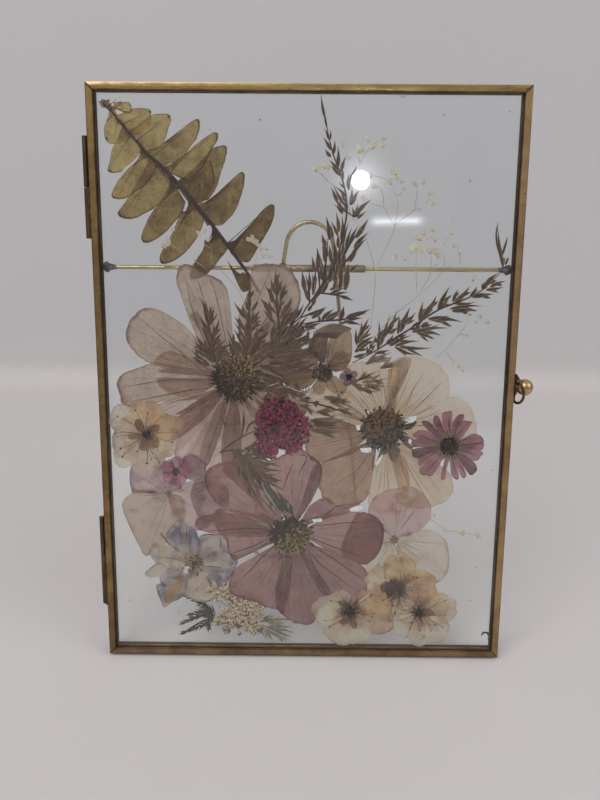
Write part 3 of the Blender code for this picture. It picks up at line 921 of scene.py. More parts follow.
    def tube(self, path: Sequence[Vector], radius: float | Sequence[float], sides: int = 16,
             closed: bool = False, finish: int = 0) -> None:
        """A round wire along (x, depth, z) points, with caps on an open one.

        Args:
            path: Points along its middle.
            radius: Its radius in millimetres, or one for each point.
            sides: Steps round it.
            closed: Whether its end joins its start.
            finish: Index of its material on the piece.
        """
        count = len(path)
        steps = count if closed else count - 1
        ways = []
        for at in range(count):
            before = path[(at - 1) % count] if closed else path[max(at - 1, 0)]
            after = path[(at + 1) % count] if closed else path[min(at + 1, count - 1)]
            ways.append((after - before).normalized())
        side = ways[0].orthogonal().normalized()
        sides_at = []
        for way in ways:
            side = (side - way * side.dot(way)).normalized()
            sides_at.append(side.copy())
        if closed:
            last = (side - ways[0] * side.dot(ways[0])).normalized()
            twist = math.atan2(ways[0].dot(last.cross(sides_at[0])), last.dot(sides_at[0]))
            sides_at = [Matrix.Rotation(twist * at / count, 3, ways[at]) @ sides_at[at]
                        for at in range(count)]
        radii = [radius] * count if isinstance(radius, (int, float)) else list(radius)

        def place(across: float, along: float) -> Vector:
            """A point of the wire's skin.

            Args:
                across: Share of the way round.
                along: Share of the way along.

            Returns:
                The point as (x, depth, z).
            """
            at = round(along * steps) % count if closed else round(along * steps)
            angle = 2.0 * math.pi * across
            out = (sides_at[at] * math.cos(angle)
                   + ways[at].cross(sides_at[at]) * math.sin(angle)) * radii[at]
            return path[at] + out

        self.close_up(self.sheet(sides, steps, place, 0.5, finish, thin=False))

    def close_up(self, made: Sequence[bmesh.types.BMVert]) -> None:
        """Joins the seams of a sheet that was rolled round, and caps its open ends.

        Args:
            made: The sheet's points.
        """
        bmesh.ops.remove_doubles(self.mesh, verts=made, dist=1e-5)
        left = [vert for vert in made if vert.is_valid]
        rims = list({edge for vert in left for edge in vert.link_edges if edge.is_boundary})
        if rims:
            capped = bmesh.ops.holes_fill(self.mesh, edges=rims, sides=0)["faces"]
            for face in capped:
                face.material_index = rims[0].link_faces[0].material_index

    def block(self, low: Vector, high: Vector, bevel: float) -> None:
        """A flat plate with rounded edges between two corners.

        Args:
            low: Its lower corner.
            high: Its upper corner.
            bevel: How wide its rounded edges are, in millimetres.
        """
        shape = Matrix.Translation((low + high) / 2) @ Matrix.Diagonal((*(high - low), 1.0))
        made = bmesh.ops.create_cube(self.mesh, size=1.0, matrix=shape)["verts"]
        bmesh.ops.bevel(self.mesh, geom=list({edge for vert in made for edge in vert.link_edges}),
                        offset=bevel, offset_type="OFFSET", affect="EDGES", segments=2,
                        profile=0.5, material=-1)

    def lump(self, spot: Vector, radius: float, stretch: Triple, seed: float,
             finish: int = 0) -> None:
        """An uneven rounded lump, as solder leaves.

        Args:
            spot: Its middle.
            radius: Its radius in millimetres.
            stretch: How long it is on each axis, as shares.
            seed: Picks one of many uneven shapes.
            finish: Index of its material on the piece.
        """
        made = bmesh.ops.create_icosphere(self.mesh, subdivisions=4, radius=radius)["verts"]
        for vert in made:
            swell = 1.0 + 0.16 * noise.noise(vert.co * 1.1 + Vector((seed, seed, seed)))
            swell += 0.05 * noise.noise(vert.co * 4.0 + Vector((seed, 0.0, 0.0)))
            vert[self.grain] = (0.5, 0.5, 0.5)
            vert.co = spot + Vector(swell * vert.co[at] * stretch[at] for at in range(3))
        self.dress(made, finish)

    def turned(self, profile: Trace, place: Matrix, steps: int) -> None:
        """Turns a (radius, height) profile about its own z axis and puts it in place.

        Args:
            profile: The profile, from one end to the other.
            place: Takes it from its own axes to its place.
            steps: Steps round it.
        """
        verts = [self.mesh.verts.new((radius, 0.0, height)) for radius, height in profile]
        edges = [self.mesh.edges.new(pair) for pair in zip(verts, verts[1:])]
        if profile[0][0] > 0.0:
            edges.append(self.mesh.edges.new((verts[-1], verts[0])))
        before = set(self.mesh.faces)
        bmesh.ops.spin(self.mesh, geom=verts + edges, cent=(0, 0, 0), axis=(0, 0, 1),
                       angle=2 * math.pi, steps=steps, use_merge=True)
        points = list({vert for face in self.mesh.faces if face not in before for vert in face.verts})
        for vert in points:
            vert[self.grain] = (0.5, 0.5, 0.5)
        bmesh.ops.transform(self.mesh, matrix=place, verts=points)
        bmesh.ops.remove_doubles(self.mesh, verts=points, dist=1e-5)

    def deliver(self, name: str, body: Body, finishes: Sequence[Finish], stands_for: str,
                slot: Slot = Slot.BRASS, thickness: float = 0.02, sharp_deg: float = 38.0) -> None:
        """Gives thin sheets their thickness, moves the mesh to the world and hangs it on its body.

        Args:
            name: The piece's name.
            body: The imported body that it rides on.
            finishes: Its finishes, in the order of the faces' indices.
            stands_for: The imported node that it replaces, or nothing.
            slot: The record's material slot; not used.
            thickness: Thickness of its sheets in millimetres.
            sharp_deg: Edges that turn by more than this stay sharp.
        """
        thin = [face for face in self.mesh.faces if face[self.thin]]
        if thin:
            drawn = bmesh.ops.extrude_face_region(self.mesh, geom=thin, use_keep_orig=True)["geom"]
            backs = [item for item in drawn if isinstance(item, bmesh.types.BMVert)]
            bmesh.ops.translate(self.mesh, verts=backs, vec=(0.0, thickness, 0.0))
        self.mesh.faces.layers.int.remove(self.thin)
        bmesh.ops.recalc_face_normals(self.mesh, faces=self.mesh.faces)
        self.mesh.transform(self.shop.space.matrix())
        piece = settle(name, self.mesh, sharp_deg, [self.shop.paint(finish) for finish in finishes])
        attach(piece, body.value)
        if stands_for:
            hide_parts(stands_for)
        LOG.info("%s: %d faces on %s", name, len(piece.data.polygons), body.value)


def settle(name: str, mesh: bmesh.types.BMesh, sharp_deg: float,
           materials: Iterable[bpy.types.Material]) -> bpy.types.Object:
    """Makes a finished mesh an object of the scene.

    Args:
        name: The object's name.
        mesh: Its mesh, which is freed.
        sharp_deg: Edges that turn by more than this stay sharp.
        materials: Its materials, in the order of the faces' indices.

    Returns:
        The object, at the origin.
    """
    data = bpy.data.meshes.new(name)
    mesh.to_mesh(data)
    mesh.free()
    data.shade_smooth()
    data.set_sharp_from_angle(angle=math.radians(sharp_deg))
    for material in materials:
        data.materials.append(material)
    made = bpy.data.objects.new(name, data)
    bpy.context.scene.collection.objects.link(made)
    return made


def layer(number: float) -> float:
    """Depth of one of the thin layers between the panes, in millimetres."""
    return 1.9 + 0.16 * number


# ---- brass, glass and solder ------------------------------------------------------------------

RAILS = {
    # The top rail carries a painted highlight along its outer edge.
    Side.TOP: AgedBrass("brass_across_edge_highlit", Grain.ACROSS, (0.44, 0.30, 0.125), (0.20, 0.12, 0.055),
                        tarnish=0.35, rough=0.26, lined=True, polished=0.9),
    Side.BOTTOM: AgedBrass("brass_across_dull", Grain.ACROSS, (0.30, 0.20, 0.105),
                           (0.13, 0.085, 0.055), tarnish=0.55, rough=0.36, lined=True),
    Side.LEFT: AgedBrass("brass_upright_olive", Grain.UPRIGHT, (0.31, 0.205, 0.085),
                         (0.13, 0.08, 0.045), tarnish=0.55, rough=0.33, lined=True),
    Side.RIGHT: AgedBrass("brass_upright_brown", Grain.UPRIGHT, (0.42, 0.275, 0.13),
                          (0.19, 0.115, 0.07), tarnish=0.45, rough=0.33, lined=True),
}
# Finishes of the channels' inner faces, darkened as painted shade; RAIL_SHADE, darker still, is the shaded
# copy for the upright rails.
RAIL_INNER = AgedBrass("brass_inner_brown", Grain.ROUND, (0.27, 0.17, 0.08), (0.09, 0.05, 0.028),
                       tarnish=0.6, rough=0.42)
RAIL_SHADE = AgedBrass("brass_inner_dark", Grain.ROUND, (0.13, 0.075, 0.035), (0.045, 0.024, 0.013),
                       tarnish=0.6, rough=0.45)
BRASS_TURNED = AgedBrass("brass_turned", Grain.ROUND, (0.50, 0.35, 0.17), (0.20, 0.12, 0.06),
                         tarnish=0.35, rough=0.24)
BRASS_WIRE = AgedBrass("brass_wire", Grain.ACROSS, (0.66, 0.50, 0.25), (0.22, 0.15, 0.08),
                       tarnish=0.35, rough=0.2)
BRASS_STAND = AgedBrass("brass_stand_wire", Grain.ROUND, (0.56, 0.43, 0.25), (0.2, 0.14, 0.08),
                        tarnish=0.4, rough=0.22)
BRASS_SLEEVE = AgedBrass("brass_sleeve", Grain.ROUND, (0.42, 0.31, 0.17), (0.12, 0.08, 0.05),
                         tarnish=0.55, rough=0.24)
BRASS_DARK = AgedBrass("brass_dark_wire", Grain.ROUND, (0.16, 0.105, 0.06), (0.05, 0.033, 0.026),
                       tarnish=0.7, rough=0.36)
SOLDER = GreySolder()
PANE = WindowGlass()


@dataclass(frozen=True)
class BrassLeaf:
    """One leaf: four folded channel rails round a pane."""

    body: Body
    depth: float
    wide: float = 131.0
    high: float = 182.0
    face: float = 2.3
    deep: float = 2.4
    sheet: float = 0.4
    bend: float = 0.32
    mitre: float = 0.03
    crown: float = 0.07
    skin: float = 0.06

    def profile(self) -> Trace:
        """Outline of the folded channel as (inward, depth) points, crowned on its outer faces.

        Returns:
            The outline, closed from its last point to its first.
        """
        front = [(self.face, 0.05), (self.face - 0.06, 0.0)]
        front += [(self.face * share, -self.crown * math.sin(math.pi * share))
                  for share in (0.85, 0.65, 0.45, 0.25)]
        outer = [spot for depth, start in ((self.bend, 270.0), (self.deep - self.bend, 180.0))
                 for spot in arc((self.bend, depth), self.bend, start, start - 90.0, 6)]
        rear = [(self.face * share, self.deep) for share in (0.4, 0.7)]
        rear += [(self.face - 0.06, self.deep), (self.face, self.deep - 0.05)]
        inner = [(self.face, self.deep - self.sheet), (self.sheet, self.deep - self.sheet),
                 (self.sheet, self.sheet), (self.face, self.sheet)]
        return front + outer + rear + inner

    def rail(self, shop: Shop, side: Side) -> None:
        """One rail with mitred ends.

        Args:
            shop: What the pieces are made with.
            side: The side that it lies on.
        """
        across = side in (Side.TOP, Side.BOTTOM)
        half_run = (self.wide if across else self.high) / 2
        half_off = (self.high if across else self.wide) / 2
        outward = 1.0 if side in (Side.TOP, Side.RIGHT) else -1.0
        profile = self.profile()
        count, rows = len(profile), 40

        def place(around: float, along: float) -> Vector:
            """A point of the channel's skin.

            Args:
                around: Share of the way round the channel.
                along: Share of the way along the rail.

            Returns:
                The point as (x, depth, z).
            """
            inward, depth = profile[round(around * count) % count]
            run = (2.0 * along - 1.0) * (half_run - inward - self.mitre)
            off = outward * (half_off - inward)
            sag = 0.035 * noise.noise(Vector((run * 0.05, outward * 3.0, self.depth)))
            x, z = (run, off) if across else (off, run)
            return Vector((x, self.depth + depth + (sag if depth < 0.2 else 0.0), z + self.high / 2))

        def inset(spot: Vector) -> float:
            """How far a place lies inside the rail's outer edge."""
            return half_off - abs(spot.z - self.high / 2 if across else spot.x)

        mould = Mould(shop)
        mould.close_up(mould.sheet(count, rows, place, thin=False))
        for vert in mould.mesh.verts:
            held = vert[mould.grain]
            vert[mould.grain] = (inset(vert.co) / self.face, held.y, held.z)
        for face in mould.mesh.faces:
            spot = face.calc_center_median()
            if self.body is Body.FRONT:
                shown = spot.y < self.depth + self.skin
            else:
                shown = spot.y > self.depth + self.deep - self.skin
            face.material_index = 0 if shown or inset(spot) < self.sheet * 0.6 else 1
        # Painted shade: the channel's inner faces take a darker finish, darkest on the upright rails.
        inside = RAIL_INNER if across else RAIL_SHADE
        mould.deliver(f"{self.body.word}_channel_{side.value}", self.body, (RAILS[side], inside),
                      f"{self.body.word}_rail_{side.value}")

    def build(self, shop: Shop) -> None:
        """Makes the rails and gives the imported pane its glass.

        Args:
            shop: What the pieces are made with.
        """
        for side in Side:
            self.rail(shop, side)
        shop.repaint(f"{self.body.word}_glass", PANE)


@dataclass(frozen=True)
class SideHinge:
    """A hinge of two rolled knuckles, their soldered plates and the pin."""

    name: str
    low: float
    joint: float
    high: float
    x: float = -66.75
    depth: float = 2.55
    radius: float = 0.9
    bore: float = 0.45
    pin: float = 0.38
    gap: float = 0.25
    plate_out: float = 1.0
    plate_thick: float = 0.35
    plate_reach: float = 2.05
    plate_parting: float = 0.22
    solder_steps: int = 26
    dome: float = 0.12
    edge: float = 0.09

    def knuckle(self, shop: Shop, body: Body, low: float, high: float) -> None:
        """One rolled knuckle with its plate and a run of solder against the rail.

        Args:
            shop: What the pieces are made with.
            body: The leaf's body.
            low: Height of its lower end in millimetres.
            high: Height of its upper end in millimetres.
        """
        mould = Mould(shop)
        mould.turned(pipe(self.bore, self.radius, low, high, self.edge),
                     Matrix.Translation((self.x, self.depth, 0.0)), 32)
        near = -self.plate_reach if body is Body.FRONT else self.plate_parting
        far = -self.plate_parting if body is Body.FRONT else self.plate_reach
        out = self.x + self.plate_out
        mould.block(Vector((out - self.plate_thick, self.depth + near, low + 0.05)),
                    Vector((out, self.depth + far, high - 0.05)), 0.06)
        steps = range(self.solder_steps + 1)
        for side in (near + 0.3, far - 0.3):
            path = [Vector((out + 0.02,
                            self.depth + side + 0.07 * noise.noise(Vector((step * 0.7, side, low))),
                            low + 0.3 + (high - low - 0.6) * step / self.solder_steps))
                    for step in steps]
            widths = [0.2 + 0.08 * noise.noise(Vector((step * 0.9, 7.0, side))) for step in steps]
            mould.tube(path, widths, 8, finish=1)
        mould.deliver(f"hinge_{self.name}_{body.word}_knuckle", body, (BRASS_DARK, SOLDER),
                      f"hinge_{self.name}_{body.word}")

    def build(self, shop: Shop) -> None:
        """Makes both knuckles and the domed pin.

        Args:
            shop: What the pieces are made with.
        """
        self.knuckle(shop, Body.FRONT, self.low, self.joint - self.gap / 2)
        self.knuckle(shop, Body.BACK, self.joint + self.gap / 2, self.high)
        mould = Mould(shop)
        neck = self.pin * 0.7
        profile = [(0.0, self.low - 0.02), (neck, self.low), (self.pin, self.low + self.dome),
                   (self.pin, self.high - self.dome), (neck, self.high), (0.0, self.high + 0.02)]
        mould.turned(profile, Matrix.Translation((self.x, self.depth, 0.0)), 24)
        mould.deliver(f"hinge_{self.name}_domed_pin", Body.BACK, (BRASS_TURNED,),
                      f"hinge_{self.name}_pin")


@dataclass(frozen=True)
class BallClasp:
    """The ball stud on the front leaf and the wire loop that closes round its neck."""

    side: float = 65.5
    height: float = 92.4
    ball_depth: float = 1.2
    ball_out: float = 3.45
    ball: float = 2.65
    neck: float = 0.7
    foot: float = 1.1
    pivot_out: float = 1.15
    pivot_depth: float = 3.9
    wire: float = 0.43
    sleeve: float = 0.78
    bore: float = 0.5
    sleeve_long: float = 5.5
    edge: float = 0.08
    solder_apart: float = 0.55
    solder_steps: int = 14
    ball_steps: int = 30
    bends: tuple[Triple, ...] = (
        (-2.3, 2.7, 0.0), (-2.3, 2.7, 2.4), (-2.5, 1.6, 3.6), (-2.9, -0.4, 3.7), (-2.45, -2.0, 2.6),
        (-1.7, -2.75, 0.6), (-0.95, -2.65, -1.7), (-0.9, -1.7, -3.6), (-1.5, -0.5, -4.9),
        (-2.4, 0.6, -5.0), (-2.8, 1.4, -4.2), (-2.5, 2.2, -3.2), (-2.3, 2.7, -2.2),
    )

    def stud(self, shop: Shop) -> None:
        """The ball with its neck, foot and solder.

        Args:
            shop: What the pieces are made with.
        """
        profile = [(0.0, 0.05), (self.foot + 0.25, 0.05), (self.foot + 0.1, 0.3), (self.foot, 0.5),
                   (self.foot * 0.93, 0.56), (self.neck + 0.06, 0.6), (self.neck, 0.7)]
        meet = math.asin(self.neck / self.ball)
        for step in range(self.ball_steps + 1):
            angle = meet + (math.pi - meet) * step / self.ball_steps
            profile.append((self.ball * math.sin(angle) if step < self.ball_steps else 0.0,
                            self.ball_out - self.ball * math.cos(angle)))
        mould = Mould(shop)
        spot = Matrix.Translation((self.side, self.ball_depth, self.height))
        mould.turned(profile, spot @ SIDEWAYS, 56)
        for face in mould.mesh.faces:
            if face.calc_center_median().x < self.side + 0.5:
                face.material_index = 1
        mould.deliver("clasp_round_stud", Body.FRONT, (BRASS_TURNED, SOLDER), "clasp_ball")

    def loop(self, shop: Shop) -> None:
        """The wire loop, on its own body: out of the sleeve, over the ball's neck and back.

        Args:
            shop: What the pieces are made with.
        """
        ball = Vector((self.side + self.ball_out, self.ball_depth, self.height))
        bends = [Vector(spot) + ball for spot in self.bends]
        mould = Mould(shop)
        mould.tube(smooth_run([*bends, bends[0]], 72)[:-1], self.wire, 14, closed=True)
        mould.deliver("clasp_wire_loop", Body.CLASP, (BRASS_DARK,), "clasp_loop")

    def hanger(self, shop: Shop) -> None:
        """The short sleeve that the loop turns in, soldered to the back leaf.

        Args:
            shop: What the pieces are made with.
        """
        half = self.sleeve_long / 2
        mould = Mould(shop)
        spot = Vector((self.side + self.pivot_out, self.pivot_depth, self.height))
        mould.turned(pipe(self.bore, self.sleeve, -half, half, self.edge),
                     Matrix.Translation(spot), 32)
        steps = range(self.solder_steps + 1)
        for side in (-self.solder_apart, self.solder_apart):
            path = [Vector((self.side + 0.2, self.pivot_depth + side
                            + 0.08 * noise.noise(Vector((step * 0.8, side, 2.0))),
                            self.height - half + 0.3
                            + (self.sleeve_long - 0.6) * step / self.solder_steps))
                    for step in steps]
            mould.tube(path, [0.3 + 0.06 * math.sin(step * 2.3) for step in steps], 8, finish=1)
        mould.deliver("clasp_soldered_sleeve", Body.BACK, (BRASS_DARK, SOLDER), "clasp_sleeve")

    def build(self, shop: Shop) -> None:
        """Makes the stud, the loop and its sleeve.

        Args:
            shop: What the pieces are made with.
        """
        self.stud(shop)
        self.loop(shop)
        self.hanger(shop)


@dataclass(frozen=True)
class EaselStand:
    """The crossbar behind the panes and the wire stand that folds about it."""

    bar_z: float = 128.7
    bar_depth: float = 6.08
    bar: float = 0.68
    bar_half: float = 61.3
    lump: float = 1.15
    back_face: float = 5.1
    middle: float = 0.8
    sleeve: float = 1.15
    bore: float = 0.85
    sleeve_half: float = 17.4
    wire: float = 0.68
    back: float = 2.08
    crown_back: float = -0.6
    arch_top: float = 14.1
    arch: float = 7.3
    half: float = 8.2
    splay: float = 0.11
    open_deg: float = 24.0
    corner: float = 6.0
    shoulder: float = 2.5
    knee: float = 3.0
    lean_deg: float = 10.0
    edge: float = 0.1
    bar_steps: int = 60
    bend_step: float = 2.5
    cone_steps: int = 16
    cone_long: float = 2.6
    cone_wide: float = 0.62

    def crossbar(self, shop: Shop) -> None:
        """The long bar, drawn a little uneven.

        Args:
            shop: What the pieces are made with.
        """
        steps = self.bar_steps
        path = [Vector((self.bar_half * (2.0 * step / steps - 1.0), self.bar_depth,
                        self.bar_z + 0.05 * noise.noise(Vector((step * 0.11, 0.0, 4.0)))))
                for step in range(steps + 1)]
        mould = Mould(shop)
        mould.tube(path, self.bar, 20)
        mould.deliver("crossbar_rod", Body.BACK, (BRASS_WIRE,), "crossbar")

    def solder(self, shop: Shop, side: Side) -> None:
        """The lump that joins the bar to a rail, with a cone of solder along the bar.

        Args:
            shop: What the pieces are made with.
            side: The side that the rail lies on.
        """
        sign = -1.0 if side is Side.LEFT else 1.0
        spot = Vector((sign * (self.bar_half + 1.1), self.back_face + 0.75, self.bar_z))
        mould = Mould(shop)
        mould.lump(spot, self.lump, (1.05, 0.75, 1.4), sign)
        steps = self.cone_steps
        path = [spot + Vector((-sign * (0.4 + self.cone_long * step / steps),
                               self.bar_depth - spot.y, 0.0)) for step in range(steps + 1)]
        widths = [self.bar + self.cone_wide * (1.0 - step / steps) ** 1.4
                  + 0.06 * noise.noise(Vector((step * 0.8, sign, 0.0))) for step in range(steps + 1)]
        mould.tube(path, widths, 18)
        mould.deliver(f"solder_cone_{side.value}", Body.BACK, (SOLDER,), f"solder_{side.value}",
                      Slot.SOLDER)

    def above(self, x: float, up: float) -> Vector:
        """A point of the stand above the bar, relative to the bar's middle."""
        slope = (self.back - self.crown_back) / self.arch_top
        return Vector((x, self.back - slope * up, up))

    def below(self, x: float, down: float) -> Vector:
        """A point of the stand's leg below the bar."""
        opened = math.radians(self.open_deg)
        return Vector((x, self.back + down * math.sin(opened), -down * math.cos(opened)))

    def path(self) -> list[Vector]:
        """The closed run of the stand's wire, relative to the bar's middle.

        Returns:
            The corners of the run, in millimetres.
        """
        leaned, opened = math.radians(self.lean_deg), math.radians(self.open_deg)
        bar_up = self.bar_z * math.cos(leaned) - (self.bar_depth - self.back_face) * math.sin(leaned)
        fall = bar_up - self.back * math.sin(leaned) - self.wire
        leg = fall / math.cos(opened - leaned)
        foot = self.half + self.splay * leg
        crown = arc((0.0, self.arch_top - self.arch), self.arch, 0.0, 180.0, 24)
        upper = [self.above(x, up) for x, up in
                 [(self.half, self.shoulder), *crown, (-self.half, self.shoulder)]]
        bend = arc((foot - self.corner, leg - self.corner), self.corner, 90.0, 6.0, 12)
        left = [self.below(-x, down) for x, down in reversed(bend)]
        right = [self.below(x, down) for x, down in bend]
        knee = self.half + self.splay * self.knee
        return upper + [self.below(-knee, self.knee)] + left + right + [self.below(knee, self.knee)]

    def wires(self, shop: Shop) -> None:
        """The one long loop of wire, bent smoothly.

        Args:
            shop: What the pieces are made with.
        """
        middle = Vector((self.middle, self.bar_depth, self.bar_z))
        corners = [middle + spot for spot in self.path()]
        dense: list[Vector] = []
        for start, end in zip(corners, corners[1:] + corners[:1]):
            steps = max(1, round((end - start).length / self.bend_step))
            dense += [start.lerp(end, step / steps) for step in range(steps)]
        count = len(dense)
        eased = [dense[at] * 0.5 + (dense[at - 1] + dense[(at + 1) % count]) * 0.25
                 for at in range(count)]
        mould = Mould(shop)
        mould.tube(eased, self.wire * 0.98, 16, closed=True)
        mould.deliver("stand_bent_wire", Body.STAND, (BRASS_STAND,), "stand_wire")

    def turning_sleeve(self, shop: Shop) -> None:
        """The tube on the bar, with the solder that holds the wire to it.

        Args:
            shop: What the pieces are made with.
        """
        ring = pipe(self.bore, self.sleeve, -self.sleeve_half, self.sleeve_half, self.edge)
        middle = Vector((self.middle, self.bar_depth, self.bar_z))
        mould = Mould(shop)
        mould.turned(ring, Matrix.Translation(middle) @ SIDEWAYS, 32)
        for sign in (-1.0, 1.0):
            spot = middle + Vector((sign * (self.half + self.splay * 0.4), 1.25, 0.1))
            mould.lump(spot, 1.25, (1.35, 0.8, 1.2), sign + 5.0, 1)
            mould.lump(spot + Vector((sign * 1.5, -0.15, -0.5)), 0.9, (1.2, 0.8, 0.9), sign + 8.0, 1)
        mould.deliver("stand_soldered_sleeve", Body.STAND, (BRASS_SLEEVE, SOLDER), "stand_sleeve")

    def build(self, shop: Shop) -> None:
        """Makes the bar, its solder, the sleeve and the wire.

        Args:
            shop: What the pieces are made with.
        """
        self.crossbar(shop)
        for side in (Side.LEFT, Side.RIGHT):
            self.solder(shop, side)
        self.wires(shop)
        self.turning_sleeve(shop)


# ---- dried plants: finishes -------------------------------------------------------------------

DUSTY = PressedPetal("petal_dusty", (168, 151, 141), (104, 84, 75), vein=0.42)
DUSTY_PINK = PressedPetal("petal_dusty_pink", (168, 150, 145), (120, 98, 92), vein=0.42)
CREAM = PressedPetal("petal_cream", (200, 182, 156), (148, 122, 94), veins=13.0, vein=0.45,
                     root_colour=(158, 130, 100), gain=1.5, scatter=0.5, edge=0.25)
CREAM_DUSK = PressedPetal("petal_cream_dusk", (153, 133, 116), (106, 86, 72), veins=13.0, vein=0.45,
                          edge=0.4, scatter=0.45)
SEPAL_OLIVE = PressedPetal("sepal_olive", (112, 102, 82), (58, 50, 40), veins=3.0, cover=0.3,
                           cover_deep=0.45)
CREAM_FOLD = PressedPetal("petal_cream_fold", (168, 142, 112), (118, 88, 62), veins=5.0)
MAUVE = PressedPetal("petal_mauve", (150, 125, 121), (86, 58, 64), vein=0.45, edge=0.4)
MAUVE_DEEP = PressedPetal("petal_mauve_deep", (134, 101, 104), (80, 48, 58), vein=0.5)
PLUM = PressedPetal("petal_plum", (184, 171, 155), (146, 124, 108), cover=0.17, cover_deep=0.24,
                    root_colour=(158, 132, 108), veins=9.0, vein=0.3, blotch=0.9, speckle=0.2)
PLUM_TAN = PressedPetal("petal_plum_tan", (178, 153, 132), (136, 112, 98), cover=0.17, cover_deep=0.24,
                        veins=9.0, vein=0.3, blotch=0.9, speckle=0.2)
SCALE = PressedPetal("scale_brown", (136, 112, 90), (82, 58, 46), veins=4.0, cover=0.2, cover_deep=0.4)
SEPAL = PressedPetal("petal_sepal", (155, 142, 131), (108, 90, 82), veins=8.0, vein=0.35, blotch=0.5)
SEPAL_PEACH = PressedPetal("petal_sepal_peach", (184, 165, 149), (132, 110, 98), veins=8.0, vein=0.35,
                           blotch=0.5, gain=1.4)
SEPAL_MAUVE = PressedPetal("petal_sepal_mauve", (158, 142, 141), (100, 78, 86), veins=8.0, vein=0.3,
                           blotch=0.9)
MAGENTA = PressedPetal("petal_magenta", (156, 124, 136), (96, 54, 72), veins=6.0, vein=0.5)
BROWN = PressedPetal("petal_brown", (140, 124, 106), (80, 62, 50), veins=18.0, cover=0.2)
RAY = PressedPetal("petal_ray", (138, 105, 112), (70, 42, 52), veins=3.0, vein=0.6, edge=1.0, cover=0.14,
                   cover_deep=0.24)
FERN = PressedPetal("fern_blade", (158, 143, 101), (82, 63, 37), veins=26.0, vein=0.55, edge=1.0,
                    root=0.2, cover=0.14, cover_deep=0.24, blotch=0.35, scatter=0.3)
FOLD = PressedPetal("petal_fold", (158, 140, 131), (106, 87, 80), veins=7.0, vein=0.8)
CREASE = DriedBit("petal_crease", (92, 74, 66), (60, 44, 40))
VEIN = DriedBit("petal_vein", (124, 104, 90), (92, 72, 62))
POLLEN = DriedBit("pollen_gold", (132, 115, 72), (84, 68, 42))
ANTHER = DriedBit("anther_dark", (46, 35, 29), (17, 13, 12))
HUSK = DriedBit("husk_brown", (114, 88, 58), (62, 45, 30))
HEART = DriedBit("heart_brown", (62, 47, 34), (30, 22, 18))
# Pale bits that stand in for light: the bright wall seen through gaps, highlights between leaves and the
# glint of a chip in the glass.
PAINTED_LIGHT_BIT = DriedBit("painted_light_white", (222, 226, 230), (176, 176, 174), gain=1.35)
RAY_LINE = DriedBit("ray_line", (98, 66, 72), (62, 38, 46))
STALK = DriedBit("stalk_brown", (118, 94, 74), (66, 46, 38))
FINE_STALK = DriedBit("stalk_fine", (168, 156, 140), (112, 96, 80))
FERN_STALK = DriedBit("stalk_fern", (70, 48, 44), (38, 24, 26), gain=1.1)
# The leaves' rim colours are painted highlights along their edges.
DARK_LEAF = DriedBit("leaf_dark", (88, 68, 52), (48, 35, 27), rim=(146, 128, 108), gain=1.15)
FAN_LEAF = DriedBit("leaf_fan_brown", (94, 72, 58), (58, 42, 34), rim=(116, 95, 80), gain=1.15)
FAN_STEM = DriedBit("leaf_fan_stem", (84, 64, 54), (54, 38, 34), gain=1.1)
GREEN_LEAF = DriedBit("leaf_dark_green", (66, 64, 52), (40, 38, 32), rim=(100, 102, 86), gain=1.1)
GREY_LEAF = PressedPetal("leaf_grey", (136, 124, 108), (90, 80, 68), veins=3.0, edge=0.3, root=0.0)
PALE_GREEN = DriedBit("leaf_pale_green", (158, 152, 130), (110, 102, 80))
NEEDLE = DriedBit("leaf_grey_green", (124, 120, 102), (84, 78, 64))
BUD = PressedPetal("bud_cream", (200, 195, 180), (158, 147, 124), cover=0.26, cover_deep=0.36,
                   veins=4.0, scatter=0.4)
BUD_TIP = DriedBit("bud_tip", (112, 88, 66), (58, 42, 34))
BUD_CUP = DriedBit("bud_calyx", (166, 150, 116), (122, 104, 74))
CRIMSON = DriedBit("floret_crimson", (142, 62, 80), (76, 28, 42))
WINE = DriedBit("floret_wine", (70, 32, 40), (34, 16, 20))
TANGLE = DriedBit("tangle_plum", (74, 54, 52), (38, 26, 28))
GRIT = DriedBit("grit_dark", (70, 58, 50), (34, 28, 26))


# ---- dried plants: shared ways of growing -----------------------------------------------------

@dataclass(frozen=True)
class Blade:
    """One traced petal: its base, its rim, how dark it is and which of the finishes it takes."""

    path: str
    tone: float = 0.5
    finish: int = 0


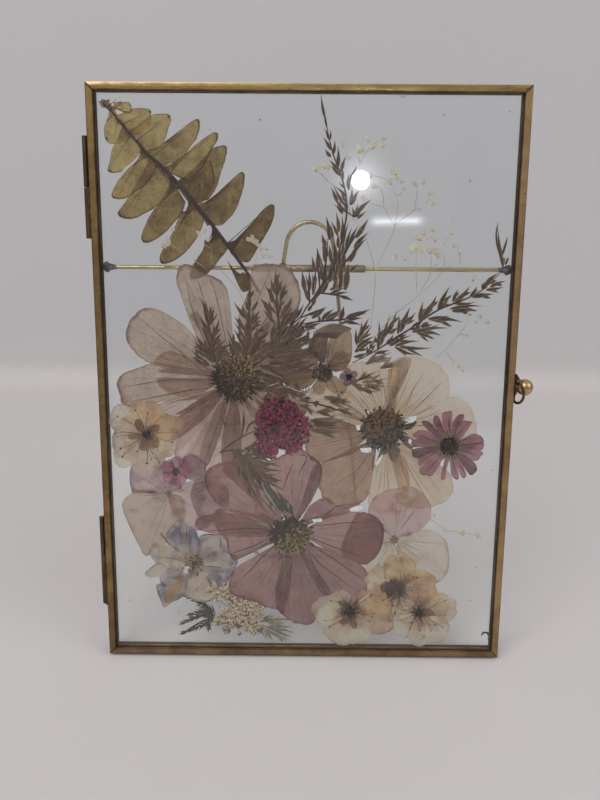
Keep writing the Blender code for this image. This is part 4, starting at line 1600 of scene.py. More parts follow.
class Plant:
    """A pressed plant in its own layer, grown from traced places."""

    def __init__(self, shop: Shop, number: float, seed: int) -> None:
        """Starts an empty plant in a layer.

        Args:
            shop: What the pieces are made with.
            number: The layer, counted from the front pane.
            seed: What its chance starts from.
        """
        self.shop = shop
        self.mould = Mould(shop)
        self.depth = layer(number)
        self.chance = random.Random(seed)

    def spot(self, place: Spot, lift: float = 0.0) -> Vector:
        """The (x, depth, z) place of a picture coordinate, lifted towards the front."""
        flat = self.shop.space.on_plane(*place, self.depth)
        return Vector((flat.x, self.depth - lift, flat.y))

    def vary(self, tone: float = 0.5, by: float = 0.12) -> float:
        """A tone a little off the given one."""
        return tone + self.chance.uniform(-by, by)

    def blades(self, blades: Iterable[Blade], step: float = 0.022, rows: int = 10,
               toward: Spot = (0.0, 0.0), share: float = 0.0, cols: int = 30,
               rag: float = 0.12) -> None:
        """Spreads traced petals, each a little behind the one before.

        Args:
            blades: The petals.
            step: How much deeper each one lies, in millimetres.
            rows: Steps from the base to the rim.
            toward: A middle that their bases are drawn to.
            share: How far they are drawn to it.
            cols: Steps along each rim.
            rag: How far the rims are nibbled, in millimetres.
        """
        for index, blade in enumerate(blades):
            base, *rim = trace(blade.path)
            self.mould.fan(between(base, toward, share), rim, self.depth + step * index,
                           self.vary(blade.tone, 0.03), blade.finish, cols, rows, rag=rag)

    def disc(self, centre: Spot, rx: float, ry: float, finish: int) -> None:
        """A low uneven cushion under a flower's heart."""
        self.mould.bead(self.spot(centre), 0.315 * rx, 0.5, finish, 0.025, (1.0, ry / rx), fine=4)

    def stroke(self, spots: Trace, half: float, finish: int, lift: float = 0.02) -> None:
        """A thin crease, filament or stalk along traced places, which tapers at both ends.

        Args:
            spots: Picture coordinates along it.
            half: Half its width in millimetres.
            finish: Index of its material.
            lift: How far towards the front it lies, in millimetres.
        """
        length = sum(math.dist(a, b) for a, b in zip(spots, spots[1:]))
        self.mould.ribbon(spots, [half * 0.45, half, half * 0.9, half * 0.3], self.depth - lift,
                          self.vary(), finish, max(3, min(30, round(length / 4))))

    def strokes(self, runs: Iterable[str], half: float, finish: int, lift: float = 0.02) -> None:
        """A stroke along each of some traced runs."""
        for run in runs:
            self.stroke(trace(run), half, finish, lift)

    def dot(self, place: Spot, radius: float, finish: int, lift: float = 0.04) -> None:
        """A small round bit at a traced place.

        Args:
            place: Its picture coordinate.
            radius: Its radius in millimetres.
            finish: Index of its material.
            lift: How far towards the front it lies, in millimetres.
        """
        self.mould.bead(self.spot(place, lift), radius * self.chance.uniform(0.75, 1.25),
                        self.vary(), finish, 0.5, (1.0, self.chance.uniform(0.7, 1.7)),
                        self.chance.uniform(0.0, 6.3))

    def dots(self, places: str, radius: float, finish: int) -> None:
        """A dot at each of some traced places."""
        for place in trace(places):
            self.dot(place, radius, finish)

    def veins(self, blades: Iterable[Blade], count: int, half: float, finish: int, toward: Spot,
              share: float = 0.6) -> None:
        """Draws fine dark lines from the middle out over each petal.

        Args:
            blades: The petals.
            count: How many lines each one gets.
            half: Half width of a line in millimetres.
            finish: Index of their material.
            toward: The middle that they start near.
            share: How far their start is drawn to it.
        """
        for blade in blades:
            base, *rim = trace(blade.path)
            base = between(base, toward, share)
            for at in range(count):
                place = (at + self.chance.uniform(0.25, 0.75)) / count * (len(rim) - 1)
                low = min(int(place), len(rim) - 2)
                tip = between(rim[low], rim[low + 1], place - low)
                near, far = self.chance.uniform(0.1, 0.3), self.chance.uniform(0.5, 0.95)
                sway = self.chance.uniform(-1.6, 1.6)
                run = [between(base, tip, part) for part in (near, (near + far) / 2, far)]
                run[1] = (run[1][0] + sway, run[1][1] + sway)
                self.stroke([(round(u, 1), round(v, 1)) for u, v in run], half, finish, 0.012)

    def leaflet(self, base: Spot, tip: Spot, wide: float, lobes: int = 0) -> None:
        """A narrow pointed leaflet, with side lobes if asked, in picture coordinates.

        Args:
            base: Where it starts.
            tip: Where it ends.
            wide: Its width.
            lobes: How many side lobes it has.
        """
        lean = self.chance.uniform(-0.07, 0.07)
        across = (tip[1] - base[1], base[0] - tip[0])
        bent = ((base[0] + tip[0]) / 2 + lean * across[0], (base[1] + tip[1]) / 2 + lean * across[1])
        half = wide * UNIT_MM / 2
        self.mould.ribbon([base, bent, tip],
                          [half * 0.35, half * 0.95, half, half * 0.62, half * 0.28, 0.02],
                          self.depth + self.chance.uniform(0.0, 0.07), self.vary(), 0, 7,
                          ridge=0.02)
        for lobe in range(lobes):
            share = self.chance.uniform(0.05, 0.5)
            side = 1.0 if lobe % 2 else -1.0
            root = between(base, tip, share)
            reach = self.chance.uniform(0.45, 0.62) * (1.1 - share)
            way = [tip[at] - base[at] + side * across[at] * 0.45 for at in range(2)]
            end = (root[0] + way[0] * reach, root[1] + way[1] * reach)
            self.mould.ribbon([root, end], [half * 0.3, half * 0.8, half * 0.55, 0.02],
                              self.depth + self.chance.uniform(0.0, 0.07), self.vary(), 0, 4)

    def walk(self, run: str, every: float) -> Iterable[tuple[Spot, float, float]]:
        """Steps along a traced run: each place, its direction and the share of the run behind it.

        Args:
            run: The traced run.
            every: Distance between the steps in picture units.

        Returns:
            The place, direction and share of each step. Directions are in radians.
        """
        spots = trace(run)
        whole = sum(math.dist(a, b) for a, b in zip(spots, spots[1:]))
        gone = 0.0
        for start, end in zip(spots, spots[1:]):
            length = math.dist(start, end)
            steps = max(1, round(length / every))
            way = math.atan2(end[1] - start[1], end[0] - start[0])
            for step in range(steps):
                share = (step + self.chance.uniform(0.3, 0.7)) / steps
                yield between(start, end, share), way, (gone + share * length) / whole
            gone += length

    def ahead(self, place: Spot, way: float, reach: float) -> Spot:
        """The place at a distance from another in a direction."""
        return place[0] + reach * math.cos(way), place[1] + reach * math.sin(way)

    def twig(self, run: str, reach: float, wide: float, every: float, spread: Spot) -> None:
        """Grows a twig with pairs of leaflets that get shorter towards its tip.

        Args:
            run: The twig's traced run.
            reach: Length of its leaflets in picture units.
            wide: Their width in picture units.
            every: Distance between the pairs in picture units.
            spread: The least and the most that they turn off the twig, in degrees.
        """
        self.strokes([run], 0.2, 1)
        for place, way, share in self.walk(run, every):
            for side in (-1.0, 1.0):
                turned = way + side * math.radians(self.chance.uniform(*spread))
                long = reach * (1.15 - 0.55 * share) * self.chance.uniform(0.8, 1.15)
                self.leaflet(place, self.ahead(place, turned, long), wide)
        self.leaflet(place, self.ahead(place, way, reach * 0.9), wide)

    def frond(self, run: str, reach: float, wide: float, every: float) -> None:
        """A traced axis with pointed side twigs, each with a few pairs of long leaflets.

        Args:
            run: The traced run of its axis.
            reach: Length of its side twigs in picture units.
            wide: Width of its leaflets in picture units.
            every: Distance between the side twigs in picture units.
        """
        self.strokes([run], 0.16, 1)
        for place, way, share in self.walk(run, every):
            for side in (-1.0, 1.0):
                turned = way + side * math.radians(self.chance.uniform(20.0, 34.0))
                long = reach * (1.15 - 0.72 * share) * self.chance.uniform(0.85, 1.1)
                for at in range(1 + (long > 9.0) + (long > 15.0)):
                    knot = self.ahead(place, turned, long * (0.12 + 0.24 * at))
                    for twist in (-1.0, 1.0):
                        bent = turned + twist * math.radians(self.chance.uniform(10.0, 22.0))
                        small = long * self.chance.uniform(0.5, 0.66) * (1.0 - 0.15 * at)
                        self.leaflet(knot, self.ahead(knot, bent, small), wide * 0.9)
                self.leaflet(self.ahead(place, turned, long * 0.2), self.ahead(place, turned, long), wide)
        self.leaflet(place, self.ahead(place, way, reach * 0.75), wide * 1.1)

    def tangle(self, centre: Spot, reach: float, count: int, finish: int,
               half: float = 0.085) -> None:
        """A tuft of fine curled threads from a centre.

        Args:
            centre: Picture coordinate of its middle.
            reach: Length of its longest threads in picture units.
            count: How many threads it has.
            finish: Index of their material.
            half: Half their width in millimetres.
        """
        for _, turn in spiral(count):
            angle = turn + self.chance.uniform(-0.3, 0.3)
            far = reach * self.chance.uniform(0.35, 1.0)
            bend = angle + self.chance.uniform(-0.6, 0.6)
            middle = (centre[0] + 0.5 * far * math.cos(bend), centre[1] - 0.5 * far * math.sin(bend))
            tip = (centre[0] + far * math.cos(angle), centre[1] - far * math.sin(angle))
            self.stroke([centre, middle, tip], half, finish, 0.02 + 0.06 * self.chance.random())

    def round_petal(self, centre: Spot, toward: float, length: float, wide: float, finish: int = 0,
                    tone: float = 0.5, step: float = 0.0, cols: int = 18, rag: float = 0.1) -> None:
        """A rounded petal from a centre, with a slightly uneven rim."""
        rim = petal_rim(centre, toward, length, wide, self.chance.uniform)
        self.mould.fan(centre, rim, self.depth + step, self.vary(tone, 0.06), finish, cols, 7, rag=rag)

    def crowd(self, centre: Spot, rx: float, ry: float, count: int, radius: float,
              finishes: Sequence[int], darker_toward: float = 0.0, sway: float = 0.0,
              stretch: float = 1.5, lift: float = 0.05) -> None:
        """A flower's heart: many small bits in an even spiral, darker to one side.

        Args:
            centre: Picture coordinates of the middle.
            rx: Half width in picture units.
            ry: Half height in picture units.
            count: How many bits.
            radius: Radius of a bit in millimetres.
            finishes: Indices of the finishes from the lightest to the darkest.
            darker_toward: Direction in degrees in which the bits get darker.
            sway: How strongly they do.
            stretch: How long the bits near the edge are.
            lift: How far towards the front they lie.
        """
        for share, turn in spiral(count):
            angle = turn + self.chance.uniform(-0.2, 0.2)
            u = centre[0] + rx * share * math.cos(angle)
            v = centre[1] - ry * share * math.sin(angle)
            dark = 0.5 + sway * share * math.cos(angle - math.radians(darker_toward))
            dark += self.chance.uniform(-0.5, 0.5)
            pick = finishes[max(0, min(len(finishes) - 1, int(dark * len(finishes))))]
            self.mould.bead(self.spot((u, v), lift + self.chance.uniform(0.0, 0.08)),
                            radius * self.chance.uniform(0.7, 1.3), self.vary(), pick, 0.35,
                            (1.0, 1.0 + (stretch - 1.0) * share), math.pi / 2 - angle)

    def star(self, place: Spot, reach: float, finish: int, points: int, lift: float) -> None:
        """A tiny open floret with pointed petals.

        Args:
            place: Its picture coordinate.
            reach: Its radius in millimetres.
            finish: Index of its material.
            points: How many petals it has.
            lift: How far towards the front it lies, in millimetres.
        """
        mould = self.mould
        turn = Matrix.Translation(self.spot(place, lift)) \
            @ Matrix.Rotation(self.chance.uniform(0, 6.3), 4, "Y") \
            @ Matrix.Rotation(math.radians(90.0), 4, "X")
        made = bmesh.ops.create_circle(mould.mesh, cap_ends=True, cap_tris=False,
                                       segments=points * 2, radius=reach, matrix=Matrix())["verts"]
        tone = self.vary()
        for at, vert in enumerate(made):
            vert.co = vert.co * (0.42 if at % 2 else self.chance.uniform(0.85, 1.1))
            vert[mould.grain] = (at % 2 * 0.5, 0.0 if at % 2 else 1.0, tone)
        bmesh.ops.transform(mould.mesh, matrix=turn, verts=made)
        mould.dress(made, finish, True)

    def hand_in(self, name: str, node: str, slot: Slot, finishes: Sequence[Finish],
                thickness: float = 0.014) -> None:
        """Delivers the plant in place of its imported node."""
        self.mould.deliver(name, Body.BACK, finishes, node, slot, thickness, 58.0)


# ---- the three cosmos heads -------------------------------------------------------------------

@dataclass(frozen=True)
class CosmosHead:
    """A large cosmos: broad veined petals, folds, creases and a crowded heart."""

    name: str
    slot: Slot
    number: float
    centre: Spot
    heart: Spot
    petals: tuple[Blade, ...]
    finishes: tuple[Finish, ...]
    creases: tuple[str, ...] = ()
    stems: tuple[str, ...] = ()
    # Gaps between petals, filled with pale bits as painted light.
    gaps: tuple[str, ...] = ()
    anthers: str = ""
    darker_toward: float = 0.0
    sway: float = 0.4
    seed: int = 1
    toward_middle: float = 0.62
    lines: int = 6
    line: float = 0.06
    crease: float = 0.11
    bits: tuple[int, ...] = (0, 0, 2, 1)
    grain: Spot = (0.3, 1.7)
    threads: int = 46
    beads: int = 360
    lashes: int = 22

    def build(self, shop: Shop) -> None:
        """Makes the whole head as one pressed piece.

        Args:
            shop: What the pieces are made with.
        """
        plant = Plant(shop, self.number, self.seed)
        kinds = len(self.finishes)
        crease, pollen, anther, _, stalk, heart, gap_light, vein = range(kinds, kinds + 8)
        plant.blades(self.petals, toward=self.centre, share=self.toward_middle, cols=64, rag=0.42)
        plant.veins(self.petals, self.lines, self.line, vein, self.centre)
        plant.strokes(self.creases, self.crease, crease)
        plant.strokes(self.stems, 0.42, stalk)
        plant.depth -= 0.03
        # Painted light: pale bits fill the gaps where the bright wall shows between the petals.
        for gap in self.gaps:
            base, *rim = trace(gap)
            plant.mould.fan(base, rim, plant.depth, 0.5, gap_light, cols=8, rows=3)
        plant.disc(self.centre, self.heart[0] * 0.95, self.heart[1] * 0.95, heart)
        plant.tangle(self.centre, max(self.heart) * 1.3, self.threads, anther, 0.12)
        plant.dots(self.anthers, 0.38, anther)
        for at in range(self.lashes):
            angle = at * math.tau / self.lashes + plant.chance.uniform(-0.1, 0.1)
            near, far = plant.chance.uniform(0.82, 0.96), plant.chance.uniform(1.05, 1.24)
            bent = angle + plant.chance.uniform(-0.12, 0.12)
            plant.stroke([(round(self.centre[0] + share * self.heart[0] * math.cos(turn), 1),
                           round(self.centre[1] - share * self.heart[1] * math.sin(turn), 1))
                          for share, turn in ((near, angle), (far, bent))], 0.22, anther, 0.16)
        radius, stretch = self.grain
        plant.crowd(self.centre, *self.heart, self.beads, radius,
                    [pollen + bit for bit in self.bits], self.darker_toward, self.sway, stretch, 0.14)
        plant.hand_in(f"{self.name}_head", self.name, self.slot,
                      (*self.finishes, CREASE, POLLEN, ANTHER, HUSK, STALK, HEART, PAINTED_LIGHT_BIT, VEIN))


COSMOS_DUSTY = CosmosHead(
    "cosmos_dusty", Slot.DUSTY, 3, (238, 377), (24.5, 23.5),
    (
        Blade("212 368 197 349 192 333 180 322 165 313 152 308 142 309 134 316 130 321 126 332 128 342 "
              "138 355 150 363 165 368 185 371 208 376", 0.5),
        Blade("208 382 190 371 165 365 150 364 140 367 125 373 118 380 118 388 121 395 123 404 135 408 "
              "160 402 185 397 205 390", 0.52),
        Blade("222 352 198 340 190 320 183 300 177 282 178 270 184 264 192 265 203 272 216 277 224 284 "
              "229 296 232 320 234 345", 0.47),
        Blade("248 352 240 340 238 320 245 300 250 285 252 268 262 264 275 264 288 268 296 277 300 290 "
              "300 305 292 320 280 335 262 350", 0.5),
        Blade("250 376 262 352 280 345 300 348 310 360 300 372 280 385 262 392", 0.78),
        Blade("215 392 203 397 190 405 178 417 170 430 168 437 175 439 190 430 205 418 216 405", 0.6, 2),
        Blade("216 398 200 410 180 438 175 455 185 468 200 468 212 440 220 415", 0.42, 1),
        Blade("224 402 215 412 205 435 200 455 203 463 208 465 215 450 222 430 226 415", 0.7, 2),
        Blade("228 400 228 410 222 440 224 470 238 470 242 440 240 415", 0.7, 2),
        Blade("205 378 157 372 175 366 198 370 209 380 207 390 180 396 163 388 156 378", 0.52, 2),
        Blade("205 375 153 363 159 356 168 351 185 355 196 362 205 372", 0.5, 2),
        Blade("203 345 189 315 192 312 200 314 206 330", 0.6, 2),
        Blade("205 402 165 405 175 401 190 400 200 400 195 411 175 414", 0.55, 2),
        Blade("232 396 214 404 198 434 184 462 196 476 222 478 246 474 262 458 264 430 256 404 246 394",
              0.36, 1),
        Blade("244 394 236 410 234 438 242 458 256 462 270 448 276 420 266 400", 0.44),
        Blade("212 384 196 392 160 404 120 420 114 450 140 462 176 452 204 424", 0.34, 1),
        Blade("252 384 268 388 292 386 308 398 304 416 284 426 264 414 250 398", 0.62),
    ),
    (DUSTY, DUSTY_PINK, FOLD),
    creases=("198 280 203 295 206 303", "182 355 186 358 188 362", "212 352 200 330 190 300 186 275",
             "228 350 222 320 216 295 210 278", "246 348 250 320 262 290 270 270",
             "250 350 262 325 280 300 290 282", "206 374 185 355 160 335 140 318",
             "204 380 170 380 140 384 122 388", "206 388 180 392 150 398 126 402"),
    stems=("226 393 225 406 226 420", "222 418 225 423 226 428"),
    anthers="238 353 217 364 247 359 254 362 261 370 262 383 225 384 222 376 232 394 238 398 244 400 "
            "250 396 228 356 214 372 259 377 256 390 218 388",
    darker_toward=225.0, sway=0.8, seed=11, bits=(0, 2, 2, 1), line=0.05, beads=280, threads=84,
    lashes=34,
)

COSMOS_CREAM = CosmosHead(
    "cosmos_cream", Slot.CREAM, 4, (383, 428), (22, 20),
    (
        Blade("392 446 388 449 389 456 393 461 397 458 401 450", 0.7, 4),
        Blade("378 446 372 450 366 452 364 449 368 444", 0.7, 4),
        Blade("402 436 408 436 415 440 417 446 410 448 404 444", 0.7, 4),
        Blade("402 424 408 420 414 418 416 422 412 428 406 430", 0.75, 4),
        Blade("384 448 380 452 378 458 382 456 388 452", 0.6, 4),
        Blade("400 412 398 395 396 375 393 362 400 357 415 356 430 360 440 366 447 375 450 385 449 396 "
              "440 404 425 412 410 420", 0.5),
        Blade("408 424 425 412 440 401 452 396 463 400 471 408 475 420 477 433 474 447 465 455 450 458 "
              "430 452 415 442", 0.46),
        Blade("400 448 415 450 430 460 445 468 452 478 453 490 447 500 437 505 425 506 415 498 408 480 "
              "403 465", 0.52),
        Blade("388 458 392 470 403 475 409 490 412 505 400 513 385 514 372 510 368 500 370 485 372 470 "
              "378 462", 0.5),
        Blade("370 450 372 465 371 480 370 492 362 502 350 505 338 506 326 500 320 490 318 478 319 465 "
              "330 460 350 455", 0.5, 3),
        Blade("362 440 345 455 325 462 312 460 306 450 304 438 307 425 315 418 335 418 355 425", 0.55, 3),
        Blade("366 418 350 415 330 412 312 408 308 400 312 390 325 385 340 382 352 392 362 405", 0.5),
        Blade("366 424 336 434 308 430 298 418 296 404 304 392 322 384 344 398", 0.4),
        Blade("382 410 366 408 350 396 340 382 342 370 355 362 368 361 380 364 390 373 391 390 390 405",
              0.48),
        Blade("392 410 388 370 394 368 400 372 398 395 396 408", 0.6, 1),
        Blade("400 460 397 468 400 486 405 492 410 488 408 470 406 462", 0.58, 1),
        Blade("402 372 398 362 402 358 410 358 411 364 406 372", 0.75, 2),
    ),
    (CREAM, CREAM_FOLD, FOLD, CREAM_DUSK, SEPAL_OLIVE),
    creases=("360 397 366 404 371 412", "404 412 412 392 424 372", "408 416 424 400 442 382",
             "410 426 432 424 466 420", "410 432 436 438 468 444", "404 450 420 466 440 490",
             "402 452 412 474 428 500", "386 460 388 480 390 508", "392 460 398 482 402 508",
             "372 452 356 470 332 486", "374 456 364 478 346 500", "362 436 340 440 312 446",
             "362 430 340 428 312 430", "366 416 345 404 318 398", "378 408 370 390 362 370",
             "386 408 384 388 378 370"),
    # Pale bits as painted light where the wall shows between petals.
    gaps=("405 418 417 415 415 421 405 424", "409 438 415 442 413 446 408 442",
          "360 448 372 447 370 452 362 452", "375 463 383 453 381 460 377 466",
          "356 425 362 425 361 430 357 430", "370 409 376 413 373 416"),
    anthers="362 420 366 410 380 407 392 409 402 415 406 428 404 440 396 446 384 449 372 447 363 438 "
            "361 428 399 444 390 449 367 443",
    darker_toward=285.0, sway=0.8, seed=12, lines=13, bits=(2, 2, 2, 1), grain=(0.42, 1.1), threads=26,
    line=0.05, crease=0.075, beads=250,
)

COSMOS_MAUVE = CosmosHead(
    "cosmos_mauve", Slot.MAUVE, 2, (291, 535), (21, 19),
    (
        Blade("312 528 330 514 347 511 368 514 380 522 384 533 381 545 377 555 370 561 362 563 352 560 "
              "340 555 325 548", 0.4),
        Blade("270 530 240 515 222 512 204 516 196 521 198 528 212 533 236 536 262 536", 0.5),
        Blade("433 537 352 529 353 520 357 513 370 513 381 521 384 531 380 550 372 560 363 564 352 559 "
              "342 553 341 546", 0.6, 2),
        Blade("308 545 325 548 345 557 360 563 368 575 367 590 362 597 350 602 335 602 322 585 312 565",
              0.5),
        Blade("298 555 302 556 318 580 330 598 328 603 318 610 314 622 304 624 292 621 284 615 277 607 "
              "276 590 283 570", 0.58),
        Blade("283 553 287 570 285 595 280 608 272 608 262 604 247 599 230 592 231 576 238 566 253 557 "
              "270 547", 0.5),
        Blade("270 540 250 552 235 560 229 552 226 540 215 525 213 515 225 508 262 515", 0.5),
        Blade("275 518 262 512 240 512 220 505 208 490 205 474 218 463 236 462 254 466 268 478 278 500",
              0.5),
        Blade("292 512 270 496 258 480 266 464 284 454 296 448 308 453 320 462 321 470 317 485 312 500 "
              "302 512", 0.46),
        Blade("300 512 306 490 312 470 320 462 322 474 318 488 310 502 304 512", 0.72),
        Blade("305 515 310 505 322 498 332 500 337 506 350 505 362 500 352 511 330 514 315 520", 0.58),
        Blade("304 556 309 556 333 598 328 603 322 595 312 575", 0.74),
        Blade("287 560 291 575 288 600 283 612 277 606 277 590 281 575", 0.7),
        Blade("236 482 222 470 228 465 238 468 246 478 242 484", 0.5, 1),
    ),
    (MAUVE, FOLD, MAUVE_DEEP),
    creases=(
        "310 526 330 524 350 522 372 522", "305 520 325 514 337 506 350 504",
        "310 537 330 545 350 552 362 556", "312 545 330 556 350 570 366 580",
        "308 550 322 565 340 578 352 588", "303 555 310 570", "309 570 315 580 322 592 328 601",
        "308 552 318 572 327 585 333 597", "292 555 291 575 288 600", "283 555 281 570 276 585 272 595",
        "281 556 278 563", "275 545 262 557 252 568 240 580", "270 540 258 549",
        "270 537 255 545 240 550 231 554", "270 529 250 528 230 529 212 530",
        "271 524 255 520 240 514 230 510", "277 515 270 507 260 497 250 487", "300 455 307 457 297 478",
        "293 463 288 475 283 490",
    ),
    # Pale bits as painted light where the wall shows between petals.
    gaps=("350 508 358 505 363 507 358 511 350 511", "312 519 322 518 322 521 314 522"),
    anthers="312 527 313 545 302 553 288 552 269 531 271 540 300 516 308 521 278 520 272 526 276 548",
    darker_toward=120.0, sway=1.15, seed=13, lines=7, line=0.09, crease=0.19, grain=(0.4, 1.0),
    threads=30, beads=230,
)


# ---- leaves and sprays ------------------------------------------------------------------------

@dataclass(frozen=True)
class FernFrond:
    """A pressed fern: a stalk with lobed blades on both sides."""

    number: float = 6
    stalk: str = ("104 105 112 112 122 124 134 138 150 156 163 167 177 182 190 197 203 213 214 227 "
                  "226 243 237 258 247 272 260 293")
    pinnae: tuple[str, ...] = (
        "110 106 112 101 118 98 120 103 115 108", "112 109 112 108 116 104 124 101 130 103 131 109 "
        "127 113 118 114", "124 124 120 122 124 116 135 110 147 109 151 111 150 120 146 127 138 132 "
        "131 134", "138 140 133 133 143 126 152 117 163 114 170 115 171 121 168 131 165 140 160 148 "
        "150 149 143 146", "152 158 150 155 158 150 170 140 180 131 190 123 199 119 200 128 197 138 "
        "190 148 180 158 168 162 160 163", "163 170 163 168 172 163 185 155 193 147 205 138 213 133 "
        "218 133 218 140 213 148 207 160 198 172 186 180 175 180", "182 188 178 184 186 183 196 174 "
        "203 166 209 160 213 168 215 180 212 190 205 199 199 203 192 198 185 190",
        "186 190 190 180 205 165 213 151 221 146 227 147 226 158 221 173 215 187 207 198 200 203",
        "203 213 203 204 212 202 222 193 232 181 238 174 243 172 245 178 243 190 237 208 230 218 "
        "222 225 216 225 211 220 205 213", "228 243 229 241 238 237 247 230 255 219 264 209 272 204 "
        "275 208 273 221 266 235 258 248 250 261 243 262 237 258 230 249",
        "235 271 236 272 243 272 249 276 252 284 248 291 242 291 238 284 236 278",
        "118 119 115 116 110 120 106 128 105 136 108 142 114 144 121 142 126 136 124 130",
        "130 137 126 137 120 141 114 150 110 162 108 171 113 173 121 172 127 166 134 158 140 150 "
        "137 144", "143 151 140 152 134 160 125 170 118 182 112 195 117 199 127 198 135 192 145 186 "
        "153 172 155 162 150 157", "157 167 152 168 145 180 134 192 125 203 118 213 122 218 133 219 "
        "144 214 155 208 162 198 170 184 166 177", "172 182 170 183 163 195 154 207 148 220 142 235 "
        "142 241 147 243 155 240 166 232 175 222 181 212 184 200 181 193",
        "190 203 186 201 181 212 176 225 170 238 163 250 160 258 162 264 172 262 184 254 195 241 "
        "202 228 205 219 198 210", "213 232 209 231 205 240 203 250 195 262 190 272 190 278 197 279 "
        "206 275 213 268 221 258 228 249 226 243 218 238",
    )
    tips: str = "107 139 111 171 115 197 121 216 144 241 163 262 193 278 131 106 150 112 169 117 199 122"

    def build(self, shop: Shop) -> None:
        """Makes the frond.

        Args:
            shop: What the pieces are made with.
        """
        plant = Plant(shop, self.number, 21)
        spine = trace(self.stalk)
        for index, path in enumerate(self.pinnae):
            base, *rim = trace(path)
            far = max(rim, key=lambda spot: math.dist(spot, base))
            near = sorted(spine, key=lambda spot: math.dist(spot, base))[:2]
            length = math.dist(*near)
            way = tuple((near[1][at] - near[0][at]) / length for at in range(2))
            for at, push in ((1, 2.6), (2, 1.8), (-2, 2.6), (-3, 1.8)):
                off = (rim[at][0] - base[0]) * way[0] + (rim[at][1] - base[1]) * way[1]
                push = math.copysign(push if base[1] < 195.0 else 0.0, off)
                rim[at] = (rim[at][0] + push * way[0], rim[at][1] + push * way[1])
            half = min(13.0, 0.8 * math.dist(rim[1], rim[-2]))
            back = 4.6 / max(1.0, math.dist(base, far))
            root = between(base, far, -back)
            heels = [(root[0] + side * half * way[0], root[1] + side * half * way[1]) for side in (1, -1)]
            heels.sort(key=lambda spot: math.dist(spot, rim[1]))
            tone = plant.vary(0.44 + 0.0032 * (base[1] - 105.0), 0.05)
            plant.mould.fan(heels[0], rim[1:-1], plant.depth + 0.015 * (index % 4), tone, 0, 44, 10,
                            0.05, 0.2, heels[1])
            plant.mould.ribbon([base, between(far, base, 0.15)], [0.16, 0.09, 0.03],
                               plant.depth - 0.03, 0.6, 2, 6)
            plant.dot(base, 0.3, 1, 0.1)
        plant.mould.ribbon(spine, [0.2, 0.3, 0.44, 0.56, 0.58, 0.56, 0.5, 0.36],
                           plant.depth - 0.06, 0.5, 1, 50, 4, 0.12)
        plant.dots(self.tips, 0.28, 1)
        plant.strokes(("110 113 112 116 109 120 107 122", "105 100 104 105 109 108"), 0.16, 1)
        for turn in range(9):
            plant.round_petal((105, 104), turn * 40.0, plant.chance.uniform(4.0, 7.5), 3.4, 3)
        plant.hand_in("fern_pressed", "fern_frond", Slot.FERN, (FERN, FERN_STALK, STALK, BROWN), 0.02)


@dataclass(frozen=True)
class FeatherySpray:
    """A dark spray of finely cut leaves: stems, traced leaflets and twigs that carry their own.

    A leaflet is five numbers: its base, its tip and its width, in picture coordinates. A frond
    starts with one number more, how far its side twigs reach.
    """

    name: str
    node: str
    number: float
    stems: tuple[str, ...]
    leaflets: str = ""
    twigs: tuple[str, ...] = ()
    reach: float = 12.0
    wide: float = 3.2
    every: float = 5.5
    leaf: DriedBit = DARK_LEAF
    stalk: DriedBit = FERN_STALK
    stalk_half: float = 0.3
    slot: Slot = Slot.LEAVES
    seed: int = 3
    specks: str = ""
    # Pale strokes as painted light: highlights and the bright wall showing between the leaves.
    streaks: tuple[str, ...] = ()
    swell: float = 0.95
    lobes: int = 0
    fronds: tuple[str, ...] = ()
    spread: Spot = (15.0, 30.0)

    def build(self, shop: Shop) -> None:
        """Makes the spray.

        Args:
            shop: What the pieces are made with.
        """
        plant = Plant(shop, self.number, self.seed)
        plant.strokes(self.stems, self.stalk_half, 1, 0.0)
        for u0, v0, u1, v1, wide in trace(self.leaflets, 5):
            plant.leaflet((u0, v0), (u1, v1), wide * self.swell, lobes=self.lobes)
        for run in self.twigs:
            plant.twig(run, self.reach, self.wide, self.every, self.spread)
        for frond in self.fronds:
            reach, run = frond.split(" ", 1)
            plant.frond(run, float(reach), self.wide, self.every)
        plant.dots(self.specks, 0.35, 2)
        # Painted light: pale strokes where light shows between the leaves.
        plant.strokes(self.streaks, 0.075, 3, 0.1)
        plant.hand_in(self.name, self.node, self.slot, (self.leaf, self.stalk, CRIMSON, PAINTED_LIGHT_BIT), 0.03)


